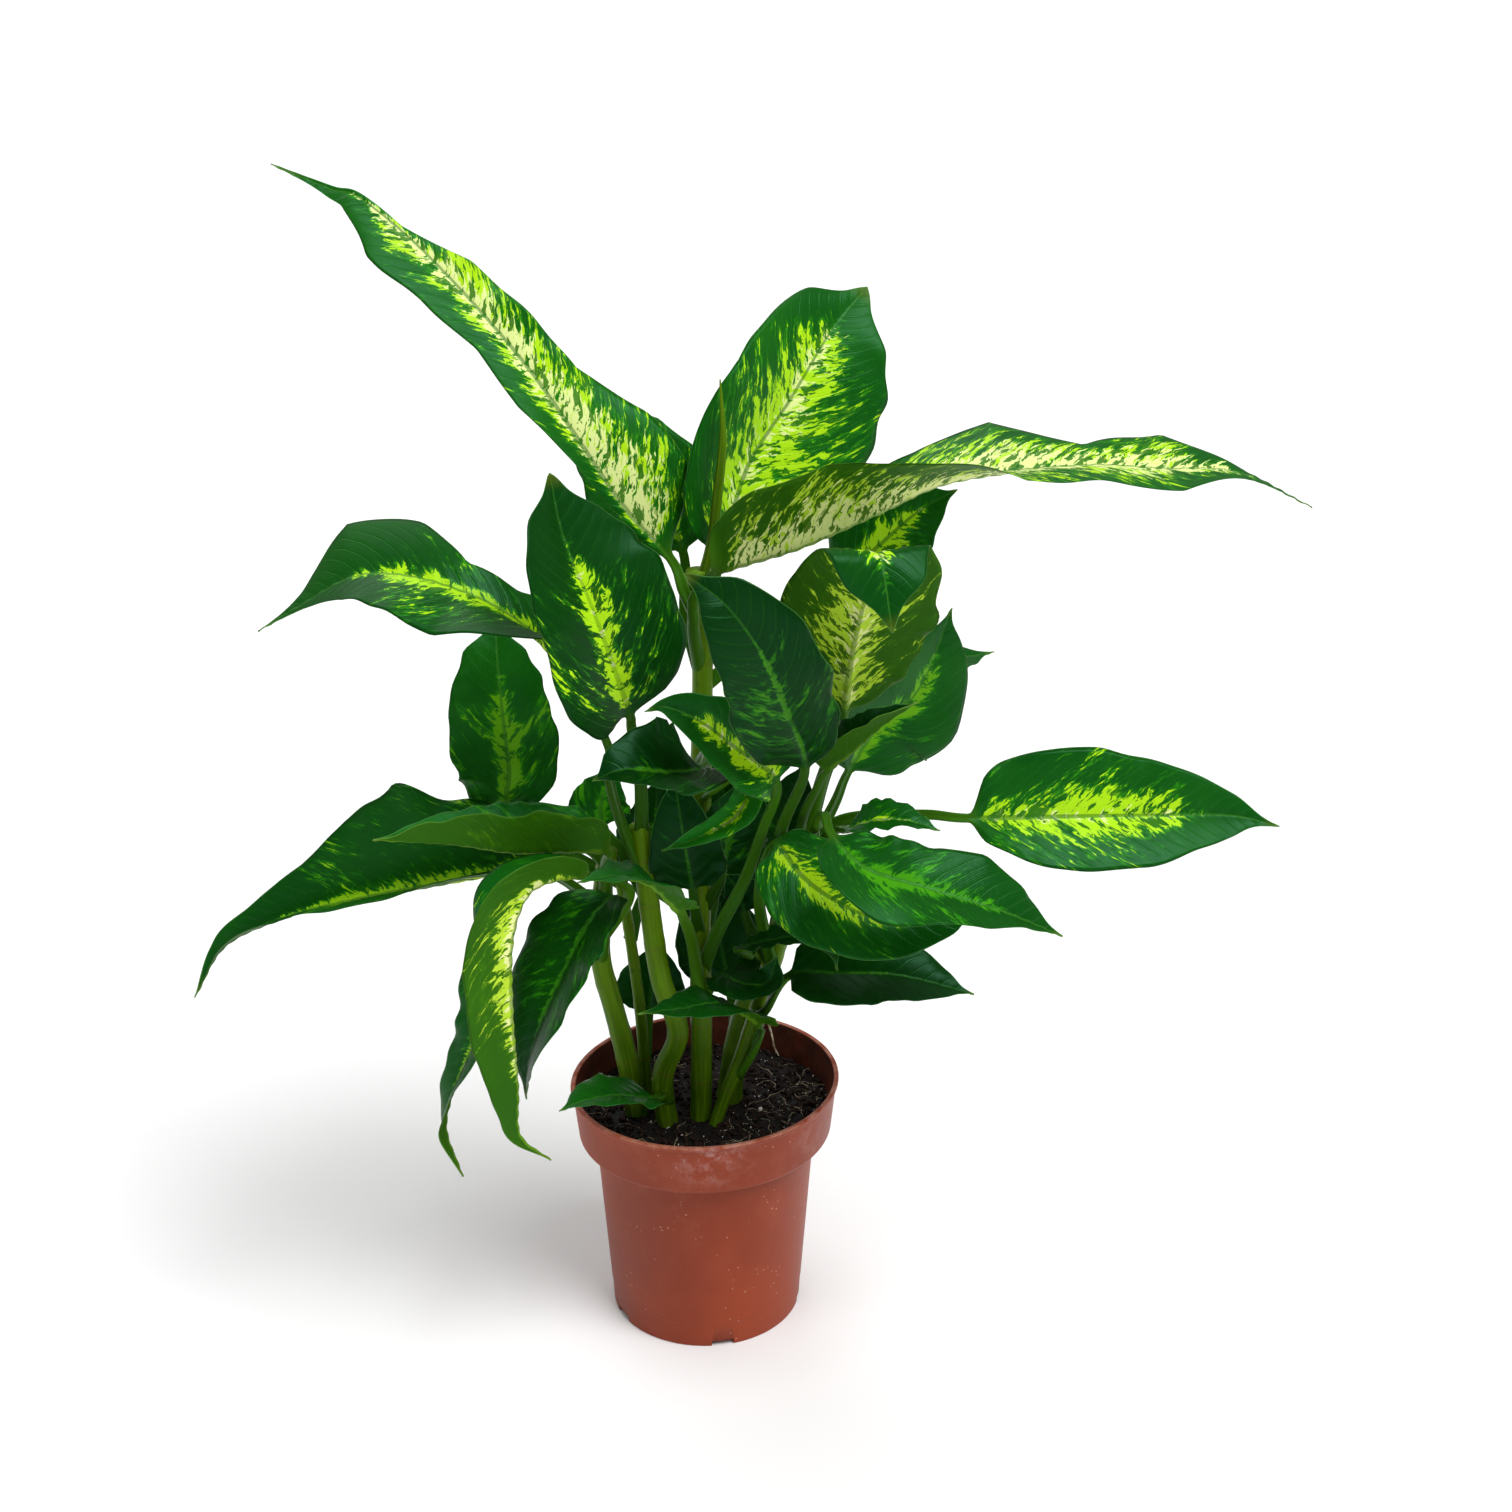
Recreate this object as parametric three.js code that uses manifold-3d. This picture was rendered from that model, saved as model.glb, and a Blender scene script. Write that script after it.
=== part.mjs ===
// Potted dieffenbachia: a bushy house plant of several canes in a small terracotta-coloured
// plastic nursery pot. Millimetres, +Z up. The origin is the middle of the pot's foot.
// -Y is the side that the plant shows to the viewer, +X is on the viewer's right.
import * as THREE from 'three';
import { mergeVertices } from 'three/addons/utils/BufferGeometryUtils.js';
import Module from 'manifold-3d';

const wasm = await Module();
wasm.setup();

// ---------------------------------------------------------------- driving dimensions
const POT_HEIGHT = 113.4;
const RIM_RADIUS = 60;
const COLLAR_HEIGHT = 24.7;
const COLLAR_FOOT = POT_HEIGHT - COLLAR_HEIGHT;
const STEP_DROP = 0.8;
const COLLAR_FOOT_RADIUS = 56.7;
const NECK_RADIUS = 49.2;
const FOOT_RADIUS = 43;
const FOOT_RING_WIDTH = 2.5;
const STUD_RADIUS = 9;
const POT_WALL = 1.4;
const LIP_HEIGHT = 1.6;
const LIP_REACH = 0.8;
const FLOOR_HEIGHT = 3.2;
const NOTCH_COUNT = 5;
const NOTCH_WIDTH = 10;
const NOTCH_HEIGHT = 2.8;
const NOTCH_DEPTH = 12;
const NOTCH_START = 11;
const RIM_TILT = 2.2;
const POT_SEGMENTS = 48;

const SOIL_HEIGHT = 99;
const SOIL_GAP = 0.3;
const SOIL_MOUND = 0.6;

const CURVE_STEPS = 400;
const PETIOLE_RING_SPACING = 20;
const BLADE_RINGS = 11;
const BLADE_THICKNESS = 0.9;
const RIB_THICKNESS = 1.9;
const PETIOLE_RADIUS = 1.9;
const PETIOLE_FOOT_RADIUS = 3;
const PETIOLE_DEPTH = [0.85, 1.6];
const TIP_HALF_WIDTH = 0.25;
const BLADE_START = 0.05;
const RIPPLE_COUNT = 5;
const SEAT_GAP = 0.3;
const SLIVER_SIZE = 0.1;
const CANE_SIDES = 8;
const BLADE_SHAPE = [0.5, 1.05];
const EVEN_SIDES = [[1, 1]];

// ---------------------------------------------------------------- colours
const TERRACOTTA = 0xb06a4a;
const PEAT = 0x2b1b14;
const CANE_GREEN = 0x6f8a1e;
const LEAF_GREEN = 0x2f6b2a;
const YOUNG_GREEN = 0x86a33a;

// ---------------------------------------------------------------- canes: axis points and radii
const CANES = {
  cane_left: {
    axis: [[-29, -6, 88], [-34, -6, 125], [-39, -8, 151], [-44, -10, 177], [-43, -13, 205], [-39, -17, 232]],
    radius: [5, 4],
  },
  cane_thin: {
    axis: [[-26, 4, 88], [-28, 3, 140], [-32, 4, 180], [-36, 2, 212]],
    radius: [2.8, 2.4],
  },
  cane_front: {
    axis: [[-15, -14, 88], [-18, -15, 121], [-11, -16, 145], [-18, -16, 171], [-22, -16, 203],
      [-26, -16, 243]],
    radius: [5, 4.4],
  },
  cane_tall: {
    axis: [[-2, -10, 88], [-1, -10, 127], [-1, -8, 164], [-1, 0, 215], [0, -5, 268], [1, -8, 313],
      [-1, -10, 352]],
    radius: [5, 4.4],
  },
  cane_right: {
    axis: [[1, -19, 88], [8, -15, 108], [17, -9, 130], [24, -6, 152], [31, -8, 177], [37, -12, 206],
      [44, -14, 236]],
    radius: [2.8, 3.6, 4, 4],
  },
  cane_back: {
    axis: [[10, 4, 88], [12, 5, 110], [15, 7, 131], [22, 8, 158], [31, 7, 180], [41, 4, 206], [52, 2, 236]],
    radius: [6, 5, 3.6, 3.2],
  },
};

// The newest leaf of the tall cane is still rolled up: a thin spike out of the cane's top.
const SPEAR = {
  axis: [[0, -10, 344], [5, -11, 362], [8, -12, 385], [10, -10, 406], [9, -6, 428]],
  radius: [2.4, 2.2, 1.8, 0.4],
};

// ---------------------------------------------------------------- leaves
// petiole: from the cane's axis to the foot of the blade; rib: along the blade to its tip.
// face: where the upper side looks, at the foot, (the middle) and the tip of the blade.
// fold: how far the left and right halves are raised from flat, in degrees, from the foot to the tip.
// sides: how wide the left and right halves are for their place on the blade, from the foot to the tip.
const LEAVES = {
  leaf_top_left: {
    cane: 'cane_tall', petiole: [[0, -9, 330], [-6, -15, 345]],
    rib: [[-11, -12, 357], [-30, -17, 381], [-64, -9, 431], [-101, 4, 471], [-129, 12, 494], [-142, 15, 498],
      [-165, 18, 507]],
    face: [[0.2, -0.85, 0.45], [0.2, -0.85, 0.45], [0, -0.85, 0.5]], width: 58, fold: [[20, 5]], wave: 3,
    sides: [[0.3, 1], [0.15, 1.3], [0.3, 1.05], [0.5, 0.55], [0.5, 0.52], [0.8, 0.5], [1.25, 0.1],
      [0.7, 0.2], [0.6, 0.5]],
  },
  leaf_top_right: {
    cane: 'cane_tall', petiole: [[0, -8, 324], [4, -1, 340]],
    rib: [[9, -2, 354], [19, 10, 388], [37, 24, 414], [54, 40, 439], [69, 56, 454]],
    face: [[0.3, -0.9, 0.1], [0.4, -0.9, 0.3], [0.2, -0.6, 0.8]], width: 74,
    fold: [[25, 0], [30, 0], [15, 0]], wave: 2, shape: [0.55, 0.8],
    sides: [[1, 1], [1, 1.05], [0.95, 1.2], [1, 1.3]],
  },
  leaf_top_back: {
    cane: 'cane_tall', petiole: [[1, -7, 304], [-6, 4, 328]],
    rib: [[-7, 10, 354], [-21, 22, 377], [-40, 36, 396], [-58, 48, 412]],
    face: [[0, -0.9, 0.4]], width: 50, fold: [[10, 10]], wave: 2,
  },
  leaf_right_long: {
    cane: 'cane_tall', petiole: [[0, -8, 310], [-2, -24, 335]],
    rib: [[3, -30, 355], [40, -36, 370], [71, -36, 384], [99, -33, 395], [148, -27, 399], [180, -24, 397],
      [211, -22, 395], [243, -14, 379]],
    face: [[0, -0.1, 1], [0, -0.1, 1], [0, -0.2, 1]], width: 62,
    fold: [[10, 80], [0, 78], [15, 10], [15, 0], [0, 0]], wave: 2,
    sides: [[1, 1], [1, 1.1], [1, 1], [0.9, 0.8], [1.3, 0.9], [0.6, 1], [1.4, 1.4], [0.4, 0.75], [0.6, 0.6]],
  },
  leaf_left_erect: {
    cane: 'cane_front', petiole: [[-25, -16, 236], [-24, -30, 268], [-26, -47, 297]],
    rib: [[-26, -55, 306], [-30, -63, 324], [-38, -67, 352], [-49, -62, 380], [-54, -56, 403]],
    face: [[0.3, -0.9, 0.1], [0.4, -0.9, 0.3]], width: 66, fold: [[35, 0]], wave: 1, shape: [0.5, 0.75],
  },
  leaf_left_upper: {
    cane: 'cane_front', petiole: [[-24, -16, 220], [-33, -24, 250], [-37, -32, 275]],
    rib: [[-37, -35, 288], [-55, -35, 322], [-75, -38, 343], [-100, -36, 354], [-122, -32, 357],
      [-138, -30, 354], [-157, -28, 343], [-175, -28, 332]],
    face: [[0.2, -0.4, 0.9], [0.2, -0.4, 0.9], [0.3, -0.2, 0.9]], width: 62,
    fold: [[80, 10], [60, 10], [0, 15], [0, 20], [0, 0]], wave: 3, shape: [0.7, 1.2],
    sides: [[1, 1], [1, 1.1], [1, 0.75], [1, 0.45], [1, 0.4], [1, 1.15], [0.95, 1.65], [0.5, 0.9],
      [0.5, 0.6]],
  },
  leaf_left_mid: {
    cane: 'cane_thin', petiole: [[-34, 4, 206], [-62, -4, 228]],
    rib: [[-81, -8, 244], [-80, -10, 265], [-82, -6, 287], [-84, 0, 310], [-85, 8, 325]],
    face: [[0.2, -0.9, 0.1]], width: 43, fold: [[8, 8]], wave: 2, shape: [0.5, 0.6],
    sides: [[1.2, 1], [1.1, 1.02], [1.05, 0.95], [1, 0.8]],
  },
  leaf_left_low: {
    cane: 'cane_left', petiole: [[-39, -17, 226]],
    rib: [[-50, -28, 238], [-75, -30, 230], [-113, -28, 221], [-143, -24, 213], [-174, -22, 204],
      [-203, -20, 189], [-218, -22, 165]],
    face: [[0, -0.35, 0.93]], width: 56, fold: [[60, 30], [40, 60], [40, 50], [40, 40]], wave: 2,
    sides: [[1, 1], [1, 1.05], [1, 1.3], [1, 1.6], [1, 1.3], [1, 0.9], [1, 0.75], [1, 0.6], [1, 1]],
  },
  leaf_left_curved: {
    cane: 'cane_left', petiole: [[-41, -14, 210], [-39, -30, 232]],
    rib: [[-38, -46, 245], [-55, -56, 250], [-74, -62, 252], [-97, -66, 257], [-127, -70, 260]],
    face: [[0, -0.1, 1]], width: 40, fold: [[80, 50]], wave: 1,
  },
  leaf_left_hanging: {
    cane: 'cane_left', petiole: [[-44, -11, 188], [-30, -34, 218], [-32, -52, 234]],
    rib: [[-44, -62, 241], [-56, -72, 245], [-67, -81, 242], [-73, -89, 226], [-74, -91, 196],
      [-73, -89, 160], [-73, -86, 136], [-61, -84, 123]],
    face: [[0, -0.2, 1], [-0.8, 0, 0.6], [-1, 0.1, 0.1], [-1, 0.1, 0]], width: 40,
    fold: [[45, 20], [65, 40], [70, 60], [60, 50]],
  },
  leaf_front_low: {
    cane: 'cane_left', petiole: [[-44, -10, 178], [-40, -30, 205]],
    rib: [[-35, -45, 224], [-44, -60, 220], [-58, -72, 195], [-68, -76, 170], [-71, -76, 147]],
    face: [[0, -0.2, 1], [-0.7, -0.5, 0.5], [-1, -0.4, 0]], width: 47, fold: [[19, 19]], shape: [0.65, 0.87],
  },
  leaf_left_tip: {
    cane: 'cane_left', petiole: [[-43, -13, 202], [-58, -34, 226]],
    rib: [[-70, -48, 236], [-80, -60, 218], [-89, -68, 179], [-97, -68, 158], [-103, -68, 144],
      [-106, -68, 127], [-100, -68, 105]],
    face: [[-0.5, -0.8, 0.4], [-0.5, -0.8, 0.3], [-0.9, -0.4, 0], [-0.8, 0.3, 0]], width: 24,
    fold: [[20, 20]], shape: [0.6, 0.8], sides: [[1, 1], [0.7, 1], [0.7, 0.8], [1, 1]],
  },
  leaf_centre_dark: {
    cane: 'cane_right', petiole: [[36, -12, 203], [33, -34, 246]],
    rib: [[42, -68, 289], [34, -88, 321], [25, -98, 346], [12, -102, 366], [-3, -96, 376]],
    face: [[0.1, -0.9, 0.4]], width: 42, fold: [[5, 5]], wave: 1, shape: [0.6, 0.8],
  },
  leaf_centre_right: {
    cane: 'cane_right', petiole: [[44, -14, 235], [50, -15, 262], [56, -26, 286]],
    rib: [[58, -40, 302], [60, -52, 330], [64, -66, 358], [68, -80, 379], [73, -92, 352]],
    face: [[0, 0.9, 0.4], [0, 0.9, 0.5], [0, 0.4, 1], [0, -0.8, 0.3]], width: 60, fold: [[5, 5]],
    shape: [0.7, 0.9],
  },
  leaf_right_shade: {
    cane: 'cane_tall', petiole: [[0, -7, 300], [30, 4, 322]],
    rib: [[58, 10, 342], [74, 10, 357], [89, 6, 372], [104, 2, 382]],
    face: [[0.2, -0.9, 0.4]], width: 40, fold: [[10, 10]], wave: 2,
  },
  leaf_right_behind: {
    cane: 'cane_back', petiole: [[49, 2, 228], [57, -1, 247]],
    rib: [[62, -4, 262], [74, -3, 282], [91, 0, 298], [104, 6, 331]],
    face: [[0.5, -0.8, -0.1]], width: 62, fold: [[10, 10]], wave: 2, shape: [0.56, 1.1],
  },
  leaf_right_narrow: {
    cane: 'cane_right', petiole: [[40, -13, 215], [41, -26, 248], [47, -44, 272]],
    rib: [[51, -54, 284], [59, -62, 294], [72, -70, 309], [84, -72, 318]],
    face: [[-0.3, -0.3, 0.9]], width: 22, fold: [[60, 60]],
  },
  leaf_centre_curl: {
    cane: 'cane_tall', petiole: [[-1, -8, 168], [6, -16, 192], [18, -20, 219], [26, -36, 250]],
    rib: [[31, -62, 281], [14, -74, 301], [2, -80, 313], [-11, -80, 319], [-19, -80, 317]],
    face: [[0.2, -0.8, 0.5]], width: 36, fold: [[30, 30]],
  },
  leaf_centre_left: {
    cane: 'cane_tall', petiole: [[0, -5, 268], [4, -34, 284]],
    rib: [[2, -66, 289], [-10, -78, 292], [-27, -86, 296], [-39, -88, 292]],
    face: [[0, -0.48, 0.88]], width: 44, fold: [[25, 25]], wave: 1,
  },
  leaf_mid_left: {
    cane: 'cane_tall', petiole: [[-1, -9, 156], [-4, -20, 190], [-7, -44, 214]],
    rib: [[-8, -62, 226], [-18, -72, 242], [-32, -82, 250], [-46, -86, 249]],
    face: [[0, 0, 1]], width: 34, fold: [[10, 10]],
  },
  leaf_front_small: {
    cane: 'cane_right', petiole: [[14, -11, 121], [22, -14, 137]],
    rib: [[24, -16, 150], [8, -44, 174], [-8, -58, 179], [-25, -66, 181]],
    face: [[0, -0.15, 1]], width: 34, fold: [[5, 5]],
  },
  leaf_pot_small: {
    cane: 'cane_front', petiole: [[-16, -15, 110], [-18, -20, 116]],
    rib: [[-21, -28, 119], [-37, -44, 130], [-51, -58, 135], [-59, -64, 134]],
    face: [[0, -0.15, 1]], width: 30, fold: [[10, 10]],
  },
  leaf_right_far: {
    cane: 'cane_back', petiole: [[45, 3, 216], [58, -6, 240], [91, -24, 251]],
    rib: [[110, -30, 252], [148, -26, 251], [186, -22, 250], [220, -20, 249], [241, -20, 244]],
    face: [[0, -0.9, 0.4]], width: 56, fold: [[10, 28]], wave: 2,
    sides: [[1.1, 0.7], [1.05, 0.85], [1.05, 1], [1, 1.03], [0.8, 1]],
  },
  leaf_right_small: {
    cane: 'cane_right', petiole: [[42, -13, 224], [52, -15, 238], [57, -28, 247]],
    rib: [[60, -38, 251], [70, -44, 257], [83, -48, 259], [97, -50, 255]],
    face: [[0, -0.2, 1]], width: 22, fold: [[20, 10]],
  },
  leaf_right_lower: {
    cane: 'cane_right', petiole: [[33, -10, 183], [46, -30, 240], [50, -50, 263]],
    rib: [[53, -63, 259], [66, -75, 250], [91, -79, 243], [121, -75, 231], [146, -66, 216]],
    face: [[0.2, -0.6, 0.8]], width: 45, fold: [[15, 15]], wave: 3,
    sides: [[1, 1], [0.75, 1.05], [0.75, 1], [1.1, 0.75], [1.15, 0.5], [1, 0.8]],
  },
  leaf_right_front: {
    cane: 'cane_right', petiole: [[30, -8, 171], [24, -24, 214]],
    rib: [[30, -38, 244], [41, -46, 234], [53, -53, 227], [71, -55, 219], [96, -53, 218], [117, -49, 222]],
    face: [[-0.3, -0.7, 0.7], [0.1, -0.9, 0.4]], width: 43, fold: [[10, 10]],
  },
  leaf_right_tip: {
    cane: 'cane_right', petiole: [[23, -4, 150], [26, -20, 158]],
    rib: [[37, -34, 182], [58, -38, 185], [83, -38, 184], [115, -36, 174]],
    face: [[0.1, -0.5, 0.9]], width: 40, fold: [[15, 15]],
  },
  leaf_right_wisp: {
    cane: 'cane_right', petiole: [[26, -6, 165], [20, -14, 182]],
    rib: [[16, -26, 191], [41, -38, 202], [54, -42, 197], [57, -44, 189]],
    face: [[0, -0.2, 1]], width: 16, fold: [[10, 10]],
  },
  leaf_centre_small: {
    cane: 'cane_tall', petiole: [[-1, -9, 158], [4, -14, 168]],
    rib: [[8, -22, 176], [18, -36, 179], [28, -40, 182], [32, -38, 194]],
    face: [[0, -0.4, 0.9]], width: 26, fold: [[15, 15]],
  },
  leaf_shade_right: {
    cane: 'cane_right', petiole: [[30, -8, 174], [21, -4, 188]],
    rib: [[18, -6, 198], [16, -7, 208], [10, -8, 217]],
    face: [[0, -0.9, 0.4]], width: 20, fold: [[10, 10]],
  },
  leaf_shade_left: {
    cane: 'cane_tall', petiole: [[-1, -6, 184], [-3, -10, 200]],
    rib: [[-4, -13, 212], [-7, -20, 237], [-9, -20, 253], [-11, -15, 266]],
    face: [[0, -0.9, 0.4]], width: 33, fold: [[10, 10]],
  },
  leaf_shade_mid: {
    cane: 'cane_tall', petiole: [[-1, -3, 196], [6, -5, 208]],
    rib: [[9, -6, 219], [13, -10, 238], [19, -11, 253], [24, -8, 266]],
    face: [[0.3, -0.9, 0.4]], width: 32, fold: [[10, 10]],
  },
  leaf_shade_far_left: {
    cane: 'cane_front', petiole: [[-22, -16, 206], [-34, -10, 228]],
    rib: [[-42, -6, 238], [-42, -4, 250], [-36, 0, 262]],
    face: [[0, -0.9, 0.4]], width: 26, fold: [[10, 10]],
  },
  leaf_back_right: {
    cane: 'cane_back', petiole: [[43, 4, 210], [49, 16, 236]],
    rib: [[58, 28, 258], [77, 40, 278], [100, 60, 287], [131, 80, 287]],
    face: [[0, -0.3, 1]], width: 44, fold: [[10, 10]],
  },
  leaf_centre_young: {
    cane: 'cane_tall', petiole: [[0, -4, 252], [12, -28, 270]],
    rib: [[20, -50, 283], [21, -60, 279], [15, -68, 269], [1, -72, 262], [-14, -72, 256]],
    face: [[0.2, -0.7, 0.6]], width: 16, fold: [[40, 40]],
  },
  leaf_shade_back_left: {
    cane: 'cane_thin', petiole: [[-32, 4, 180], [-29, 14, 190]],
    rib: [[-26, 19, 197], [-23, 23, 212], [-21, 24, 230], [-20, 22, 250]],
    face: [[0, -0.9, 0.3]], width: 36, fold: [[12, 8]], wave: 2,
  },
  leaf_shade_back_mid: {
    cane: 'cane_tall', petiole: [[-1, -5, 180], [3, 8, 188]],
    rib: [[5, 14, 196], [8, 19, 218], [9, 21, 242], [6, 19, 266]],
    face: [[0.1, -0.9, 0.3]], width: 40, fold: [[8, 14]], wave: 2,
  },
  leaf_shade_back_low: {
    cane: 'cane_back', petiole: [[14, 7, 128], [13, 18, 137]],
    rib: [[11, 23, 145], [8, 27, 162], [4, 29, 182], [-1, 28, 204]],
    face: [[0, -0.9, 0.3]], width: 42, fold: [[10, 10]], wave: 2,
  },
  leaf_shade_back_right: {
    cane: 'cane_back', petiole: [[31, 7, 180], [33, 16, 192]],
    rib: [[34, 20, 200], [36, 24, 218], [39, 25, 238], [44, 22, 256]],
    face: [[0, -0.9, 0.3]], width: 34, fold: [[10, 10]], wave: 2,
  },
  leaf_shade_low_left: {
    cane: 'cane_thin', petiole: [[-27, 4, 120], [-26, 11, 130]],
    rib: [[-25, 14, 138], [-24, 15, 150], [-22, 14, 162], [-20, 12, 175]],
    face: [[0, -0.9, 0.3]], width: 32, fold: [[10, 10]], wave: 1,
  },
};

// ---------------------------------------------------------------- shared helpers
const vec = (p) => new THREE.Vector3(...p);

/** A smooth curve through the points, whose ends run straight on. */
function smoothCurve(points) {
  return new THREE.CatmullRomCurve3(points.map(vec), false, 'catmullrom', 0.5);
}

/** Value at s (0..1) along a short list of numbers, straight between them. */
function along(list, s) {
  const x = THREE.MathUtils.clamp(s, 0, 1) * (list.length - 1);
  const i = Math.min(Math.floor(x), list.length - 2);
  return list.length === 1 ? list[0] : THREE.MathUtils.lerp(list[i], list[i + 1], x - i);
}

/** Row of values at s (0..1) along a short list of such rows. */
function rowAlong(list, s) {
  return list[0].map((_, k) => along(list.map((row) => row[k]), s));
}

/**
 * Closed geometry from rings of equal length; the first and last ring are capped. The second half of a
 * ring is split the other way, so that the two sides of a thin twisted blade bend alike.
 */
function skinRings(rings) {
  const count = rings[0].length;
  const positions = rings.flat().flatMap((p) => [p.x, p.y, p.z]);
  const index = [];
  for (let r = 0; r + 1 < rings.length; r += 1) {
    for (let i = 0; i < count; i += 1) {
      const a = r * count + i;
      const b = r * count + ((i + 1) % count);
      if (i < count / 2) index.push(a, b, b + count, a, b + count, a + count);
      else index.push(a, b, a + count, b, b + count, a + count);
    }
  }
  const last = (rings.length - 1) * count;
  for (let i = 1; i + 1 < count; i += 1) {
    index.push(0, i + 1, i);
    index.push(last, last + i, last + i + 1);
  }
  const geometry = new THREE.BufferGeometry();
  geometry.setAttribute('position', new THREE.Float32BufferAttribute(positions, 3));
  geometry.setIndex(index);
  return geometry;
}

function toSolid(geometry) {
  const bare = geometry.clone();
  bare.deleteAttribute('normal');
  bare.deleteAttribute('uv');
  const merged = mergeVertices(bare, 1e-4);
  return new wasm.Manifold(new wasm.Mesh({
    numProp: 3,
    vertProperties: new Float32Array(merged.attributes.position.array),
    triVerts: new Uint32Array(merged.index.array),
  }));
}

function fromSolid(solid) {
  const mesh = solid.getMesh();
  const geometry = new THREE.BufferGeometry();
  geometry.setAttribute('position', new THREE.BufferAttribute(new Float32Array(mesh.vertProperties), 3));
  geometry.setIndex(new THREE.BufferAttribute(new Uint32Array(mesh.triVerts), 1));
  return geometry;
}

/** Cuts the canes' seats out of a solid, and leaves out the crumbs and slivers that a cut makes. */
function cutSeats(solid, canes, gap) {
  const seats = canes.map((cane) => toSolid(caneGeometry(cane, gap)));
  const cut = seats.reduce((rest, seat) => rest.subtract(seat), solid).asOriginal().simplify(SLIVER_SIZE);
  return cut.decompose().reduce((best, piece) => (piece.volume() > best.volume() ? piece : best));
}

// ---------------------------------------------------------------- stem solids
/** A round stem along its axis; grow makes it thicker and longer, to cut its seat in another piece. */
function caneGeometry({ axis, radius }, grow = 0) {
  const curve = smoothCurve(axis);
  const steps = (axis.length - 1) * 2;
  const frames = curve.computeFrenetFrames(steps, false);
  const rings = [];
  for (let r = 0; r <= steps; r += 1) {
    const centre = curve.getPointAt(r / steps);
    if (r === 0) centre.addScaledVector(frames.tangents[0], -grow);
    if (r === steps) centre.addScaledVector(frames.tangents[steps], grow);
    const size = along(radius, r / steps) + grow;
    const ring = [];
    for (let i = 0; i < CANE_SIDES; i += 1) {
      const angle = (i / CANE_SIDES) * Math.PI * 2;
      ring.push(centre.clone()
        .addScaledVector(frames.normals[r], Math.cos(angle) * size)
        .addScaledVector(frames.binormals[r], Math.sin(angle) * size));
    }
    rings.push(ring);
  }
  return skinRings(rings);
}

// ---------------------------------------------------------------- leaf solids
/** Half width of a blade at u, from 0 at its foot to 1 at its tip. */
function halfWidth(u, width, [rise, fall]) {
  const widest = rise / (rise + fall);
  return (width / 2) * (u / widest) ** rise * (Math.max(0, 1 - u) / (1 - widest)) ** fall;
}

/**
 * One ring of a leaf: its upper side from the left edge to the right edge, then back below. The halves'
 * widths and folds are given as [left, right].
 */
function leafRing(centre, tangent, face, halves, fold, thickness, ripple) {
  const up = face.clone().addScaledVector(tangent, -face.dot(tangent)).normalize();
  const right = new THREE.Vector3().crossVectors(tangent, up);
  const place = (across, depth) => {
    const side = Math.sign(across);
    const tilt = THREE.MathUtils.degToRad([fold[0], 0, fold[1]][side + 1]);
    const out = Math.abs(across) * [halves[0], 0, halves[1]][side + 1];
    return centre.clone()
      .addScaledVector(right, side * (out * Math.cos(tilt) + depth * Math.sin(tilt)))
      .addScaledVector(up, out * Math.sin(tilt) + ripple * side * across ** 2 - depth * Math.cos(tilt));
  };
  const upper = [-1, -0.5, 0, 0.5, 1].map((s) => place(s, 0));
  const lower = [0.5, 0, -0.5].map((s) => place(s, s === 0 ? thickness[1] : thickness[0]));
  return [...upper, ...lower];
}

function leafGeometry(leaf) {
  const { petiole, rib, face, width, fold, wave = 0, shape = BLADE_SHAPE, sides = EVEN_SIDES } = leaf;
  const curve = smoothCurve([...petiole, ...rib]);
  curve.arcLengthDivisions = CURVE_STEPS;
  const lengths = curve.getLengths();
  const total = lengths[CURVE_STEPS];
  const footStep = Math.round((petiole.length / (petiole.length + rib.length - 1)) * CURVE_STEPS);
  const foot = lengths[footStep] / total;
  const petioleRings = Math.max(3, Math.ceil((foot * total) / PETIOLE_RING_SPACING));
  const stations = [];
  for (let r = 0; r < petioleRings; r += 1) stations.push((foot * r) / petioleRings);
  for (let r = 0; r <= BLADE_RINGS; r += 1) {
    const u = r / BLADE_RINGS;
    stations.push(foot + (1 - foot) * (0.6 * u + 0.4 * (1 - Math.cos(u * Math.PI)) / 2));
  }
  const rings = stations.map((at) => {
    const u = Math.max(0, (at - foot) / (1 - foot));
    const blade = THREE.MathUtils.smoothstep(u, 0, BLADE_START);
    const stalk = THREE.MathUtils.lerp(PETIOLE_FOOT_RADIUS, PETIOLE_RADIUS, Math.min(1, at / foot));
    const halves = rowAlong(sides, u)
      .map((share) => Math.hypot(share * halfWidth(u, width, shape), stalk * (1 - u) + TIP_HALF_WIDTH));
    const bend = rowAlong(fold, u).map((angle) => angle * blade);
    const thick = [
      THREE.MathUtils.lerp(stalk * PETIOLE_DEPTH[0], BLADE_THICKNESS * (1 - 0.6 * u), blade),
      THREE.MathUtils.lerp(stalk * PETIOLE_DEPTH[1], RIB_THICKNESS * (1 - 0.7 * u), blade),
    ];
    const ripple = wave * Math.sin(u * Math.PI * RIPPLE_COUNT) * blade * (1 - u);
    return leafRing(curve.getPointAt(at), curve.getTangentAt(at), vec(rowAlong(face, u)),
      halves, bend, thick, ripple);
  });
  return skinRings(rings);
}

/** A piece whose foot is cut back to sit against its cane. */
function seatedOn(cane, geometry) {
  return fromSolid(cutSeats(toSolid(geometry), [CANES[cane]], SEAT_GAP));
}

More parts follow.
